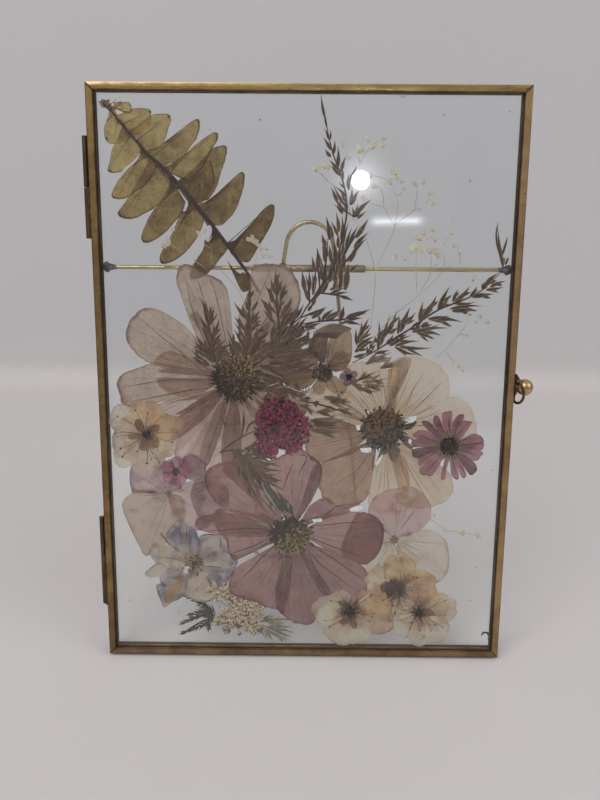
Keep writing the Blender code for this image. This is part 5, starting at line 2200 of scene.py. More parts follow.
SPRAYS = (
    FeatherySpray(
        "spray_tall_pressed", "spray_tall", 5,
        ("262 355 285 330 300 318 308 305 318 292 330 275 338 255 343 235 347 212 346 195 341 175 "
         "334 157 329 138 325 115 321 96", "347 212 356 217 362 208", "322 286 326 262 328 238",
         "341 262 350 244 360 230", "342 266 352 254 362 242", "320 292 319 275 317 256",
         "310 303 309 290 306 275", "302 324 322 321 345 319 366 313", "318 293 330 294 346 297",
         "300 318 312 313 324 308"),
        "325 118 321 96 2.6 327 128 323 110 2 329 140 324 128 2.4 330 140 331 130 2.2 331 150 323 "
        "137 3 333 155 335 140 3 331 157 325 149 3.2 337 170 338 146 3.8 338 172 329 160 3.4 341 "
        "176 330 165 3 341 172 346 156 3.4 343 180 341 165 2.4 349 182 357 165 3.4 349 190 349 "
        "173 3.4 345 188 339 182 2 350 205 352 187 3 351 205 359 190 4.4 346 202 341 190 2.4 347 "
        "198 334 186 2.4 345 206 333 185 2.8 338 203 331 187 3.6 345 212 335 198 3.4 346 213 344 "
        "199 3 343 214 334 204 2.6 342 212 340 200 3 356 214 372 199 3.8 357 219 367 211 2.4 354 "
        "216 352 207 2.4 356 217 358 204 3 330 240 326 216 4.5 338 236 331 221 3 339 232 336 212 "
        "3.5 341 240 342 215 3.4 333 238 331 224 3 343 245 349 222 3 341 262 345 230 3 346 252 "
        "352 227 3.4 349 245 358 226 3.5 356 238 369 218 4.6 354 248 369 232 4 352 254 367 238 "
        "3.4 350 262 360 245 4.2 347 262 356 247 3 338 248 338 232 3.2 335 262 334 240 4.4 340 "
        "268 341 240 3.6 344 268 346 245 4.2 326 246 322 234 4 328 256 323 240 4 325 262 322 245 "
        "3.2 331 262 329 244 4 334 272 330 252 4 337 276 338 255 4 318 270 317 247 5 314 270 312 "
        "256 3.2 320 268 320 255 3 316 272 313 262 4 321 272 322 259 3.6 325 285 326 262 5 322 "
        "280 320 264 4 330 282 330 262 5 336 284 335 264 5 341 282 343 260 5 346 287 349 263 6.4 "
        "345 290 348 272 5.4 350 272 358 264 3 340 290 343 272 4 334 290 338 276 3.4 305 291 302 "
        "270 4.6 308 300 301 284 3 310 290 309 270 3.6 313 293 312 273 2.8 310 303 306 286 2.6 "
        "315 284 316 270 3 313 295 318 276 3.2 314 300 320 284 4 318 296 327 276 4.2 322 294 331 "
        "276 3.4 312 306 318 294 3.6 340 296 354 301 3.4 330 294 346 288 2.8 333 295 349 292 2.8 "
        "330 290 344 283 3 294 320 304 303 3.4 296 313 299 304 2.4 312 318 327 306 4 316 317 322 "
        "308 3 308 311 314 302 3 310 315 320 310 2.8 322 320 334 309 4.2 326 319 341 309 5.2 328 "
        "321 340 314 3.2 320 322 318 314 2.6 341 319 344 306 4.8 346 318 360 311 3.6 350 316 371 "
        "309 4.2 348 320 363 318 3 344 321 362 325 3.6 340 324 352 320 2.2 304 326 316 321 2.8 "
        "296 329 284 326 3 308 328 322 323 3 300 332 290 324 3 284 326 292 300 4.6 290 330 300 "
        "308 4.4 288 318 298 306 3 292 334 302 318 3.6 298 330 308 316 3.4 306 345 309 328 4.4 "
        "313 344 314 330 3 286 344 291 330 4 296 338 306 330 3 280 338 286 318 4.4",
        ("290 335 283 345", "262 355 270 345 285 332", "266 352 276 340 290 330",
         "270 360 285 345 300 332", "262 350 262 338 268 326", "275 362 292 350 305 342",
         "262 358 256 352 250 348", "285 340 298 330 312 326", "272 342 276 330 284 322",
         "268 366 280 360 296 356"),
        10.5, 3.5, 4.4, seed=31, swell=1.2, spread=(18.0, 34.0),
    ),
    FeatherySpray(
        "spray_right_pressed", "spray_right", 6,
        ("352 363 375 351 395 338 410 329 425 318 440 309 455 303 470 297 482 290 492 281 500 273 "
         "503 268", "503 268 501 258 497 245 496 232 498 223"),
        "378 350 379 320 3.5 381 345 390 314 3 384 336 397 310 4 388 333 398 327 4 398 334 399 315 3 "
        "400 332 410 307 5 405 325 416 312 3 420 322 423 301 4 422 318 437 295 5 424 315 434 305 3 "
        "438 310 450 286 4 440 308 449 298 3 453 302 458 289 3 455 302 470 286 4 455 303 464 296 3 "
        "470 297 477 286 3 482 289 487 280 5 485 286 498 273 4 390 346 412 335 3 395 346 420 341 3 "
        "400 347 432 348 3 395 347 418 355 3 375 353 390 350 3 412 332 440 324 3 415 331 450 328 3 "
        "417 332 440 334 3 417 333 436 339 3 430 320 463 322 4 428 319 450 316 3 450 309 483 306 3 "
        "452 311 478 310 4 453 303 476 302 3 472 297 494 294 4 486 290 504 287 3 490 287 506 281 3 "
        "503 268 497 225 3 503 266 504 256 2 505 265 508 256 2 357 345 356 328 3 358 340 362 321 3 "
        "359 338 369 318 4 358 343 372 325 3 357 348 375 336 3.5 355 352 371 342 4 354 357 370 352 3",
        ("366 356 372 345 380 336", "384 346 392 340 402 336", "410 330 418 327 428 325"), 9.0, 3.0,
        seed=32, lobes=1, swell=1.32, spread=(20.0, 36.0),
    ),
    FeatherySpray(
        "leaf_fan_left_pressed", "leaf_fan_left", 1.6,
        ("216 362 211 335 207 315 204 300", "214 356 205 350 194 346", "216 358 224 348 232 344"),
        "208 324 201 297 4 209 325 206 302 6.5 211 325 210 305 5.5 213 323 215 305 2.6 209 337 200 316 5.5 "
        "210 346 201 326 5 208 351 196 334 4.6 206 354 195 342 4.4 212 340 220 318 5 214 346 222 332 4.6 "
        "214 353 227 339 4.6 217 357 229 344 4.4 218 359 233 352 4.4 205 357 194 348 3.4 204 360 192 350 "
        "3.4 203 363 191 356 3.4 214 362 199 345 6.5 216 362 209 338 7.5 220 362 220 336 6 218 362 225 344 "
        "6.5 210 365 194 360 5 222 364 234 356 5 212 344 214 322 5",
        (), leaf=FAN_LEAF, stalk=FAN_STEM, seed=33, swell=0.95, lobes=1,
    ),
    FeatherySpray(
        "leaf_fan_middle_pressed", "leaf_fan_middle", 1.7,
        ("247 360 248 335 250 310 251 292", "248 352 240 340 235 330", "250 354 260 340 268 332"),
        "250 308 251 285 5 249 311 245 299 4.4 252 311 258 299 4 247 319 234 302 5 246 331 234 316 5 "
        "246 341 234 322 3.6 244 346 234 329 4.4 242 353 232 338 7.5 240 357 227 329 4.4 236 357 229 339 6 "
        "244 361 229 349 4.4 252 321 261 310 4.4 252 325 262 315 3.4 252 331 260 321 4.4 254 336 265 325 "
        "4.4 255 346 268 334 5.4 256 351 271 340 5.4 254 353 262 337 6.4 256 357 276 344 5.4 260 361 279 "
        "350 4.4 248 341 249 314 6 248 351 252 324 8.4 250 359 258 329 8.4 246 359 243 334 6.4 250 325 246 "
        "308 4 251 326 255 310 4 248 362 240 346 6 252 362 266 348 7",
        (), leaf=FAN_LEAF, stalk=FAN_STEM, seed=34, swell=0.9, lobes=1,
        specks="256 326 259 325 261 328 257 329",
    ),
    FeatherySpray(
        "leaf_fan_right_pressed", "leaf_fan_right", 1.8,
        ("280 350 279 325 277 300 277 278", "262 366 284 362 306 358"),
        "277 293 276 269 4 276 294 271 277 4.2 278 294 283 279 3.4 277 296 277 273 6 274 301 265 285 4.6 "
        "273 303 268 289 4.2 281 301 287 283 5 276 313 262 299 3.4 272 319 260 298 5.6 275 323 263 309 4.2 "
        "281 319 286 303 4.2 284 313 292 296 5 283 321 293 307 4.2 284 326 297 311 5 281 331 285 313 5.2 "
        "284 341 291 324 6 272 341 276 319 4.2 276 346 280 324 6.4 268 351 278 334 6.4 279 320 278 300 4 "
        "277 310 272 294 3.4 280 312 283 296 3.4 265 357 302 345 8.4 270 363 314 353 9 262 367 302 371 8 "
        "285 353 312 339 6.4 265 351 294 335 6.4 258 373 292 381 6.4 288 346 304 336 5 276 358 298 352 6 "
        "280 368 306 364 6 262 378 284 386 5 282 372 312 360 7 284 362 315 350 7 292 356 318 343 6 "
        "296 372 318 362 6 290 350 312 332 6 276 372 304 352 8 298 358 320 352 5 286 342 304 326 4.4",
        (), leaf=FAN_LEAF, stalk=FAN_STEM, seed=35, swell=0.92, lobes=1,
    ),
    FeatherySpray(
        "leaf_green_pressed", "leaf_green", 1.5,
        ("219 453 232 443 245 435 259 429", "219 453 229 450 239 452 247 462 256 478 266 492 284 511",
         "242 436 244 422 244 411", "246 433 250 424 257 420"),
        "240 460 258 492 9 243 456 262 486 8 246 452 270 482 8 241 470 258 498 6 250 464 284 471 5 "
        "248 460 282 466 4.4 252 470 280 481 4.6 244 450 266 441 4.4 250 447 264 440 3.4 250 454 276 451 4.4 "
        "252 458 280 458 4 258 478 284 490 4 262 474 284 482 3.4 262 486 272 500 4 268 486 280 506 5 "
        "240 456 250 478 8 244 458 268 474 8 248 466 268 486 8 238 462 248 482 6 236 450 246 470 7 "
        "272 490 292 512 8 266 492 280 512 4 276 492 284 500 4 256 482 262 498 3",
        (), 12.0, 2.8, 7.5, leaf=FAN_LEAF, stalk=FAN_STEM, seed=36, swell=0.95, lobes=2,
        fronds=("12 232 448 244 458 256 474 266 488", "9 244 446 256 452 268 456",
                "12 260 386 280 390 302 396 318 404", "10 262 394 280 404 296 412",
                "9 262 380 282 382 300 386"),
        # Pale strokes as painted light between the leaves.
        streaks=("262 482 266 492 272 502", "270 484 275 490 280 498", "268 492 272 500 276 508",
                 "288 386 296 390 304 392", "302 398 308 394 313 388", "268 386 274 384 279 383"),
    ),
    FeatherySpray(
        "leaf_green_tips_pressed", "", 1.4, ("290 513 283 503 276 494",),
        "284 512 276 494 5 289 512 280 496 6 292 514 288 500 5 278 506 270 492 3 272 498 264 484 3",
        (), leaf=GREEN_LEAF, stalk=FAN_STEM, seed=46, swell=0.8, lobes=2,
    ),
    FeatherySpray(
        "leaf_grey_tips_pressed", "", 4.9, ("345 386 358 380 372 374", "300 400 322 405 345 412"),
        "358 380 377 371 4 362 382 388 378 4 364 385 388 386 4.4 358 388 380 392 4 352 384 366 390 4 "
        "366 364 392 352 5 380 368 406 356 5 392 366 412 360 4 324 397 346 400 5 330 402 352 402 5 "
        "338 408 356 414 4 314 425 346 418 6 312 430 344 430 6 316 412 340 410 5 310 420 332 424 5 "
        "268 390 300 396 5 284 388 312 392 5 262 398 290 404 5 300 404 318 414 4 256 400 274 420 5 "
        "250 404 262 420 5 246 398 256 416 5",
        (), leaf=GREY_LEAF, stalk=FAN_STEM, seed=47, swell=1.0, lobes=3,
    ),
    FeatherySpray(
        "needle_sprig_left_pressed", "needle_sprig_left", 6,
        ("181 593 200 602 215 612", "183 622 200 616 215 612", "183 633 200 622 215 616"), "",
        ("216 612 208 606 200 601 190 597 181 593", "216 614 204 614 194 617 183 622",
         "216 617 206 623 195 628 183 632", "214 614 206 609 200 604", "216 613 209 619 209 628",
         "214 612 200 611 190 614"), 7.5, 1.8, 3.2, GREEN_LEAF, slot=Slot.FERN, seed=37,
        spread=(20.0, 38.0),
    ),
    FeatherySpray(
        "needle_sprig_pale_pressed", "needle_sprig_pale", 7,
        ("258 622 268 627 280 632 290 637", "260 621 272 619 288 619"),
        "260 622 272 613 3 262 621 281 616 3.2 266 621 293 618 3.6 268 626 294 627 3.8 272 629 295 632 3.8 "
        "270 630 291 640 3.4 266 628 281 640 3.2 262 626 271 640 3.2 260 625 265 637 3.2 274 629 293 636 "
        "3.4 268 622 285 624 3.2 258 624 260 634 2.6 264 618 276 614 2.8 276 634 287 641 3 272 624 286 621 3",
        (), leaf=NEEDLE, stalk=HUSK, stalk_half=0.16, slot=Slot.CREAM, seed=38, lobes=1,
    ),
)


@dataclass(frozen=True)
class BreathSprig:
    """A sprig of baby's breath: hair-fine stalks and small papery buds.

    A bud is three numbers: its middle and its radius, in picture coordinates.
    """

    name: str
    node: str
    number: float
    stalks: tuple[str, ...]
    buds: str
    finish: int = 0
    seed: int = 5

    def bud(self, plant: Plant, u: float, v: float, size: float) -> None:
        """A half-open bud: papery petals out of a small dark calyx.

        Args:
            plant: The sprig that it's part of.
            u: Picture coordinate to the right.
            v: Picture coordinate downwards.
            size: Its radius in picture units.
        """
        chance = plant.chance
        turn = chance.uniform(-0.9, 0.9)
        foot = (u - 0.75 * size * math.sin(turn), v + 0.75 * size * math.cos(turn))
        for at in range(8):
            angle = turn + (at - 3.5) * 0.24 + chance.uniform(-0.1, 0.1)
            reach = size * chance.uniform(1.1, 1.9)
            tip = (foot[0] + reach * math.sin(angle), foot[1] - reach * math.cos(angle))
            half = UNIT_MM * size * chance.uniform(0.2, 0.36)
            plant.mould.ribbon([foot, tip], [half * 0.4, half, half * 1.25, half * 0.5],
                               plant.depth - 0.03 * chance.random(), plant.vary(0.4, 0.2),
                               self.finish, 4, ridge=0.05)
            if chance.random() < 0.3:
                plant.dot(tip, 0.11, 3, 0.05)
        plant.dot(foot, 0.17 + 0.03 * size, 3, 0.03)

    def build(self, shop: Shop) -> None:
        """Makes the sprig.

        Args:
            shop: What the pieces are made with.
        """
        plant = Plant(shop, self.number, self.seed)
        plant.strokes(self.stalks, 0.11, 2, 0.0)
        for bud in trace(self.buds, 3):
            self.bud(plant, *bud)
        plant.hand_in(self.name, self.node, Slot.CREAM, (BUD, PALE_GREEN, FINE_STALK, BUD_CUP))


BREATH = (
    BreathSprig(
        "breath_tall_pressed", "breath_sprig_tall", 3,
        ("371 325 373 305 375 285 375 272 373 262 368 245 363 232 355 222",
         "378 266 385 250 392 235 395 226 397 215 397 200 392 186 389 180",
         "395 226 388 215 384 208 370 203 363 200", "384 208 383 195 380 188 376 186",
         "395 226 404 218 413 211 416 200 417 188 415 184", "413 211 420 208", "374 176 383 178 388 181",
         "397 197 403 191", "359 166 363 158 370 148 372 147", "360 163 358 155",
         "333 186 325 178 319 172 316 168", "355 222 350 212 346 196"),
        "372 175 3 375 186 3 364 198 3 395 172 4 398 178 2.5 389 182 3.5 402 181 2.5 416 184 3 "
        "423 182 3 430 193 3 427 201 2 433 203 3 367 139 3 372 146 4 361 150 4.5 382 145 3 384 138 2.5 "
        "316 168 4 324 166 3 328 167 3 343 145 2 348 158 2.5 404 189 1.8 420 210 1.6 395 257 3", seed=41),
    BreathSprig(
        "breath_right_pressed", "breath_sprig_right", 2,
        ("416 298 398 312 380 330 371 345", "417 297 416 275 416 262 417 250",
         "417 297 430 275 431 262 431 252", "417 297 435 280 444 268 443 255 438 248",
         "431 270 440 262", "444 270 452 264", "460 265 460 255"),
        "417 238 3.5 423 238 3.5 423 233 2.5 433 230 2.5 434 239 3.5 413 250 4 417 247 4 421 250 3.5 "
        "430 250 4 437 252 4 438 256 2.5 406 258 3 451 232 3 454 246 2.5 460 252 3 474 279 3 444 244 1.5",
        seed=42),
    BreathSprig(
        "breath_side_pressed", "breath_sprig_side", 5,
        ("433 359 445 350 458 335 466 325 468 315", "458 335 466 334", "445 350 452 360 457 365"),
        "480 316 2.5 487 322 2.5 476 322 1.5 466 334 2.5 457 365 3 462 369 2.5 468 314 2", seed=43),
    BreathSprig(
        "breath_fern_pressed", "breath_sprig_fern", 4,
        ("165 240 175 247 182 252", "193 259 200 264 208 270", "208 240 212 247 212 255 211 262 209 268",
         "204 244 210 248", "212 262 235 285 243 300 246 315", "247 272 256 260 258 250"),
        "168 243 4 173 230 2.5 164 246 2.5 205 231 2 199 233 2.5 251 239 4 255 242 3 258 245 2.5 "
        "262 248 3 268 248 2.5 264 256 2.5 270 257 2 208 240 2", seed=44),
    BreathSprig(
        "breath_low_pressed", "breath_sprig_low", 7,
        ("430 518 445 529 462 532 478 535",),
        "430 518 2.5 445 529 3 462 532 3.5 478 535 3 434 514 2", seed=45),
)


# ---- smaller flowers --------------------------------------------------------------------------

@dataclass(frozen=True)
class PlumBlossom:
    """A small five-petalled blossom with brown scales, a dark tangled middle and loose anthers.

    A petal is five numbers: direction in degrees, length, width, how dark it is and its finish.
    """

    name: str
    node: str
    number: float
    centre: Spot
    petals: tuple[tuple[float, float, float, float, int], ...]
    anthers: str
    scales: tuple[Blade, ...] = ()
    middle: float = 6.0
    seed: int = 7

    def build(self, shop: Shop) -> None:
        """Makes the blossom.

        Args:
            shop: What the pieces are made with.
        """
        plant = Plant(shop, self.number, self.seed)
        for index, (toward, length, wide, tone, finish) in enumerate(self.petals):
            plant.round_petal(self.centre, toward, length, wide, finish, tone, 0.02 * index, 36, 0.4)
        plant.depth -= 0.03
        plant.blades(self.scales, 0.01, 5)
        plant.tangle(self.centre, self.middle * 2.3, 60, 4)
        plant.tangle(self.centre, self.middle * 1.5, 130, 6, 0.1)
        for spot in trace(self.anthers):
            near = between(self.centre, spot, plant.chance.uniform(0.1, 0.25))
            bend = tuple((near[at] + spot[at]) / 2 + plant.chance.uniform(-3, 3) for at in range(2))
            plant.stroke([near, bend, spot], 0.085, 4)
        plant.dots(self.anthers, 0.24, 3)
        plant.crowd(self.centre, self.middle * 0.62, self.middle * 0.55, 34, 0.24, (5, 6, 3), sway=0.2)
        plant.hand_in(self.name, self.node, Slot.CREAM,
                      (PLUM, PLUM_TAN, SCALE, ANTHER, STALK, HEART, TANGLE))


PLUMS = (
    PlumBlossom(
        "plum_left_pressed", "plum_blossom_left", 0, (147, 434),
        ((146, 42, 30, 0.42, 0), (88, 34, 32, 0.55, 1), (16, 38, 26, 0.6, 1), (-28, 34, 26, 0.5, 0),
         (-80, 38, 30, 0.55, 0), (-136, 42, 28, 0.42, 0)),
        "118 416 136 410 148 413 167 414 114 428 116 433 118 436 121 448 125 453 123 456 138 451 "
        "148 463 153 453 156 458 152 459 160 462 158 450 177 432 173 442 147 463",
        (Blade("145 433 138 431 135 424 137 419 142 420 145 427", 0.55, 2),
         Blade("143 436 139 439 131 439 128 437 131 433 139 432", 0.3, 2),
         Blade("149 431 150 426 155 424 160 425 159 430 153 433", 0.35, 2),
         Blade("149 437 155 435 159 438 159 446 154 448 149 443", 0.3, 2),
         Blade("145 439 148 445 147 450 142 450 139 446 141 440", 0.4, 2)), 6.0, 51),
    PlumBlossom(
        "plum_upper_pressed", "plum_blossom_upper", 1, (397, 589),
        ((82, 37, 34, 0.5, 1), (152, 34, 30, 0.5, 0), (196, 30, 28, 0.5, 1), (8, 40, 34, 0.55, 1),
         (-62, 36, 32, 0.5, 0), (-118, 32, 30, 0.55, 1)),
        "413 576 417 577 418 597 385 577 406 605 388 605 392 606 395 612 389 616 383 600 412 590 404 610",
        (Blade("397 590 388 598 385 590 388 582 394 578 402 582 406 588 402 596", 1.0, 2),
         Blade("390 590 382 592 380 586 385 581 390 582", 0.6, 2)), 9.5, 52),
    PlumBlossom(
        "plum_middle_pressed", "plum_blossom_middle", 0, (350, 611),
        ((176, 38, 30, 0.42, 0), (-118, 36, 36, 0.5, 0), (-76, 34, 34, 0.45, 0), (-14, 46, 32, 0.6, 1),
         (140, 26, 26, 0.55, 0), (30, 30, 24, 0.5, 1)),
        "325 620 374 613 372 616 369 621 367 592 371 595 339 591 331 600 330 626 358 598 366 600",
        (Blade("349 608 342 607 338 602 342 600 348 602", 0.6, 2),
         Blade("350 614 344 617 339 622 344 624 350 620", 0.5, 2),
         Blade("352 614 356 618 357 626 353 628 350 622", 0.5, 2),
         Blade("352 608 354 602 358 600 359 606 356 611", 0.6, 2)), 8.5, 53),
    PlumBlossom(
        "plum_right_pressed", "plum_blossom_right", 0, (419, 612),
        ((8, 39, 28, 0.48, 0), (-46, 36, 32, 0.45, 0), (-84, 34, 28, 0.45, 0), (-140, 30, 30, 0.42, 0),
         (66, 30, 28, 0.6, 1), (24, 32, 26, 0.5, 1)),
        "445 614 443 627 431 630 420 630 424 636 407 636 390 620 395 614 393 605 435 624 430 624 "
        "440 598 445 600 434 614 412 622 410 628",
        (Blade("422 610 430 608 434 612 430 616 423 615", 0.5, 2),), 6.5, 54),
)


@dataclass(frozen=True)
class LooseFlower:
    """A small flower of traced petals in several colours, with dots, ticks and a heart."""

    name: str
    node: str
    slot: Slot
    number: float
    centre: Spot
    heart: tuple[float, float, int]
    petals: tuple[Blade, ...]
    finishes: tuple[Finish, ...]
    ticks: tuple[str, ...] = ()
    anthers: str = ""
    heart_finishes: tuple[int, ...] = (1, 2)
    seed: int = 9
    lines: int = 0

    def build(self, shop: Shop) -> None:
        """Makes the flower.

        Args:
            shop: What the pieces are made with.
        """
        plant = Plant(shop, self.number, self.seed)
        kinds = len(self.finishes)
        plant.blades(self.petals)
        plant.veins(self.petals, self.lines, 0.06, kinds + 4, self.centre, 0.8)
        plant.strokes(self.ticks, 0.13, kinds)
        plant.dots(self.anthers, 0.28, kinds + 2)
        rx, ry, count = self.heart
        plant.crowd(self.centre, rx, ry, count, 0.3, tuple(kinds + at for at in self.heart_finishes))
        plant.tangle(self.centre, 1.15 * rx, count // 2, kinds + 2)
        plant.hand_in(self.name, self.node, self.slot,
                      (*self.finishes, CREASE, POLLEN, ANTHER, STALK, VEIN))


LOOSE = (
    LooseFlower(
        "hydrangea_left_pressed", "hydrangea_left", Slot.CREAM, 5, (169, 493), (3, 3, 12),
        (Blade("169 493 132 492 130 478 133 464 146 456 160 458 172 464 180 476 182 488", 0.46, 1),
         Blade("169 493 136 489 124 500 123 508 130 526 138 542 146 556 158 548 170 540 182 526 186 508 "
               "182 496", 0.36),
         Blade("169 493 182 484 200 478 214 482 222 494 220 510 208 526 192 530 178 520 170 506", 0.3, 1),
         Blade("190 495 194 482 204 475 218 478 228 490 228 506 218 518 206 522 196 512", 0.72, 1)),
        (SEPAL, SEPAL_MAUVE), heart_finishes=(1, 3), seed=61, lines=6),
    LooseFlower(
        "hydrangea_right_pressed", "hydrangea_right", Slot.CREAM, 3.5, (394, 539), (4, 4, 22),
        (Blade("410 508 398 502 396 492 404 486 416 488 425 496 424 508", 0.6),
         Blade("394 537 380 528 368 516 372 500 386 490 404 487 420 492 430 504 430 518 420 530 406 536",
               0.3, 1),
         Blade("396 537 410 531 430 530 444 538 449 552 448 570 438 582 422 586 408 580 400 562", 0.42),
         Blade("392 540 402 556 400 580 390 600 374 600 366 588 366 568 374 550 384 542", 0.4),
         Blade("394 538 386 545 378 542 376 532 384 528", 0.4)),
        (SEPAL_PEACH, SEPAL_MAUVE), heart_finishes=(1, 3), seed=62, lines=6),
    LooseFlower(
        "floret_pink_pressed", "floret_pink", Slot.MAUVE, 2.5, (176, 471), (3.6, 3.6, 16),
        (*(Blade(rounded((176, 471), 72.0 * at + 10.0, 15.0, 15.0), 0.45 + 0.05 * (at % 2))
           for at in range(5)),
         Blade("180 470 184 456 194 454 204 462 206 474 196 480 186 478", 0.5, 1)),
        (MAGENTA, PressedPetal("petal_grey_purple", (146, 130, 134), (92, 72, 80), veins=7.0)),
        ticks=("176 471 172 462 168 458", "176 471 182 464 187 460", "176 471 184 475 189 478",
               "176 471 173 478 172 484", "176 471 167 472 163 472"),
        heart_finishes=(2,), seed=63),
    LooseFlower(
        "larkspur_pressed", "larkspur", Slot.BLUE, 4, (195, 564), (9, 10, 46),
        (Blade("188 558 166 542 167 532 172 526 178 520 184 521 190 528 192 540 190 548", 0.66),
         Blade("187 556 182 546 180 534 180 524 184 522 187 530 187 544", 0.35, 1),
         Blade("196 558 188 546 188 534 190 526 196 530 200 540 202 548", 0.8, 0),
         Blade("186 560 180 548 168 544 158 543 160 550 160 556 168 558 178 560", 0.42, 1),
         Blade("186 563 176 550 156 543 150 552 156 562 166 570 178 570", 0.5, 1),
         Blade("166 567 160 562 152 567 145 573 150 577 158 576 163 572", 0.3, 1),
         Blade("186 566 176 568 164 570 160 575 162 584 168 586 176 582 184 572", 0.5, 0),
         Blade("185 574 178 576 170 586 164 596 166 602 174 600 181 588", 0.5, 2),
         Blade("186 572 176 576 168 586 157 584 158 592 162 602 165 607 172 602 180 598 186 592 188 582",
               0.45, 0),
         Blade("190 570 182 580 182 592 190 598 200 601 212 601 220 592 216 580 206 570", 0.4, 1),
         Blade("190 568 188 576 190 590 196 596 206 594 214 584 208 574 200 566", 0.45, 1),
         Blade("198 562 210 554 222 550 234 554 238 562 232 574 226 584 214 586 206 578", 0.5, 0),
         Blade("200 568 206 566 214 566 222 568 222 572 212 573 204 572", 0.95, 0),
         Blade("198 558 196 548 200 536 208 533 218 534 228 536 229 546 228 554 214 558", 0.66, 0),
         Blade("204 560 200 552 204 546 216 546 226 552 222 560 212 562", 0.5, 1),
         Blade("191 566 180 560 182 552 190 548 200 552 204 562 200 572", 0.5, 2)),
        (PressedPetal("petal_larkspur", (150, 142, 142), (86, 81, 100), veins=6.0, vein=0.5, scatter=0.5,
                      cover=0.24, cover_deep=0.32, blotch=1.5, root_colour=(164, 152, 140), root_reach=1.1),
         PressedPetal("petal_larkspur_cream", (164, 154, 144), (118, 106, 102), veins=6.0, vein=0.4,
                      scatter=0.5, cover=0.3, cover_deep=0.36, blotch=0.9),
         PressedPetal("petal_larkspur_tan", (158, 138, 116), (116, 92, 70), veins=6.0, scatter=0.5,
                      cover=0.3, cover_deep=0.36)),
        ticks=("160 532 163 536 167 541", "161 532 165 537 168 541", "146 573 152 567 160 562 166 567",
               "201 535 209 534 217 535", "220 536 221 542 220 548", "182 520 180 530 182 544",
               "188 560 183 568 178 577", "187 561 186 556 187 552", "189 562 191 570 192 577",
               "157 584 160 594 165 606", "204 566 212 566 222 567", "200 600 210 600 218 591",
               "207 575 210 582 212 588", "187 526 187 534 186 542", "162 557 172 558 182 560"),
        anthers="196 556 200 558 203 564 201 570 198 574 193 572 194 566 190 571",
        heart_finishes=(1, 1, 2, 3), seed=64),
    LooseFlower(
        "brown_flower_pressed", "brown_flower", Slot.BROWN, 1, (323, 371), (8.5, 8.0, 120),
        (Blade("323 364 316 366 313 373 318 380 326 382 333 376 331 367", 0.85),
         Blade("314 336 316 330 330 324 342 325 352 329 342 333 336 339 332 333 322 332", 0.7),
         Blade("323 364 315 358 309 350 309 342 314 336 322 332 328 337 327 348 326 360", 0.85),
         Blade("327 367 326 352 330 338 338 332 350 331 352 344 351 360 344 368 334 371", 0.42, 1),
         Blade("326 368 332 356 338 351 346 352 350 358 346 368 336 372", 0.66, 1),
         Blade("324 374 336 376 346 384 344 394 334 393 326 386", 0.2, 1),
         Blade("320 376 312 386 316 394 324 392 326 382", 0.2, 1),
         Blade("318 368 308 362 304 354 310 350 318 356", 0.55)),
        (BROWN, PressedPetal("petal_ochre", (146, 128, 110), (88, 68, 56), veins=9.0, vein=0.8, cover=0.2)),
        ticks=("323 368 318 356 312 344", "323 368 321 354 318 340", "323 368 325 352 322 342",
               "324 368 328 356 330 344", "326 368 334 358 346 352", "326 370 336 364 348 362",
               "320 372 316 374 311 376", "324 374 326 382 328 388", "326 374 332 380 338 392",
               "320 374 317 382 312 388"),
        anthers="337 391 339 395 342 392 331 345 316 352", heart_finishes=(2, 2, 3), seed=65, lines=5),
    LooseFlower(
        "tiny_purple_pressed", "tiny_purple_flower", Slot.MAUVE, 0, (349, 377), (3, 3, 12),
        tuple(Blade(rounded((349, 377), 72.0 * at + 30.0, 9.5, 7.0), 0.5) for at in range(5)),
        (PressedPetal("petal_dull_purple", (128, 112, 118), (76, 60, 70), veins=5.0),),
        ticks=("349 377 345 371", "349 377 354 372", "349 377 353 383", "349 377 344 380"),
        heart_finishes=(2,), seed=66),
    LooseFlower(
        "seed_pod_pressed", "seed_pod", Slot.BROWN, 2, (314, 374), (2.5, 3.5, 14),
        (Blade("281 375 282 368 287 363 295 360 304 360 312 364 317 371 317 378 311 385 302 389 292 388 "
               "284 383", 0.5), Blade("284 375 288 367 300 364 311 370 311 379 298 385 288 382", 0.4, 1)),
        (PressedPetal("pod_skin", (132, 114, 90), (80, 62, 46), cover=0.25, cover_deep=0.4, veins=15.0,
                      vein=0.7), BROWN),
        ticks=tuple(f"{284 + at * 2.5} {386 + (at % 3)} {281 + at * 2.7} {391 + (at * 7) % 5}"
                    for at in range(14)) + ("284 370 296 366 308 369", "284 374 298 372 312 373",
                                            "286 379 298 379 310 378", "290 384 300 384 308 382"),
        seed=67),
)


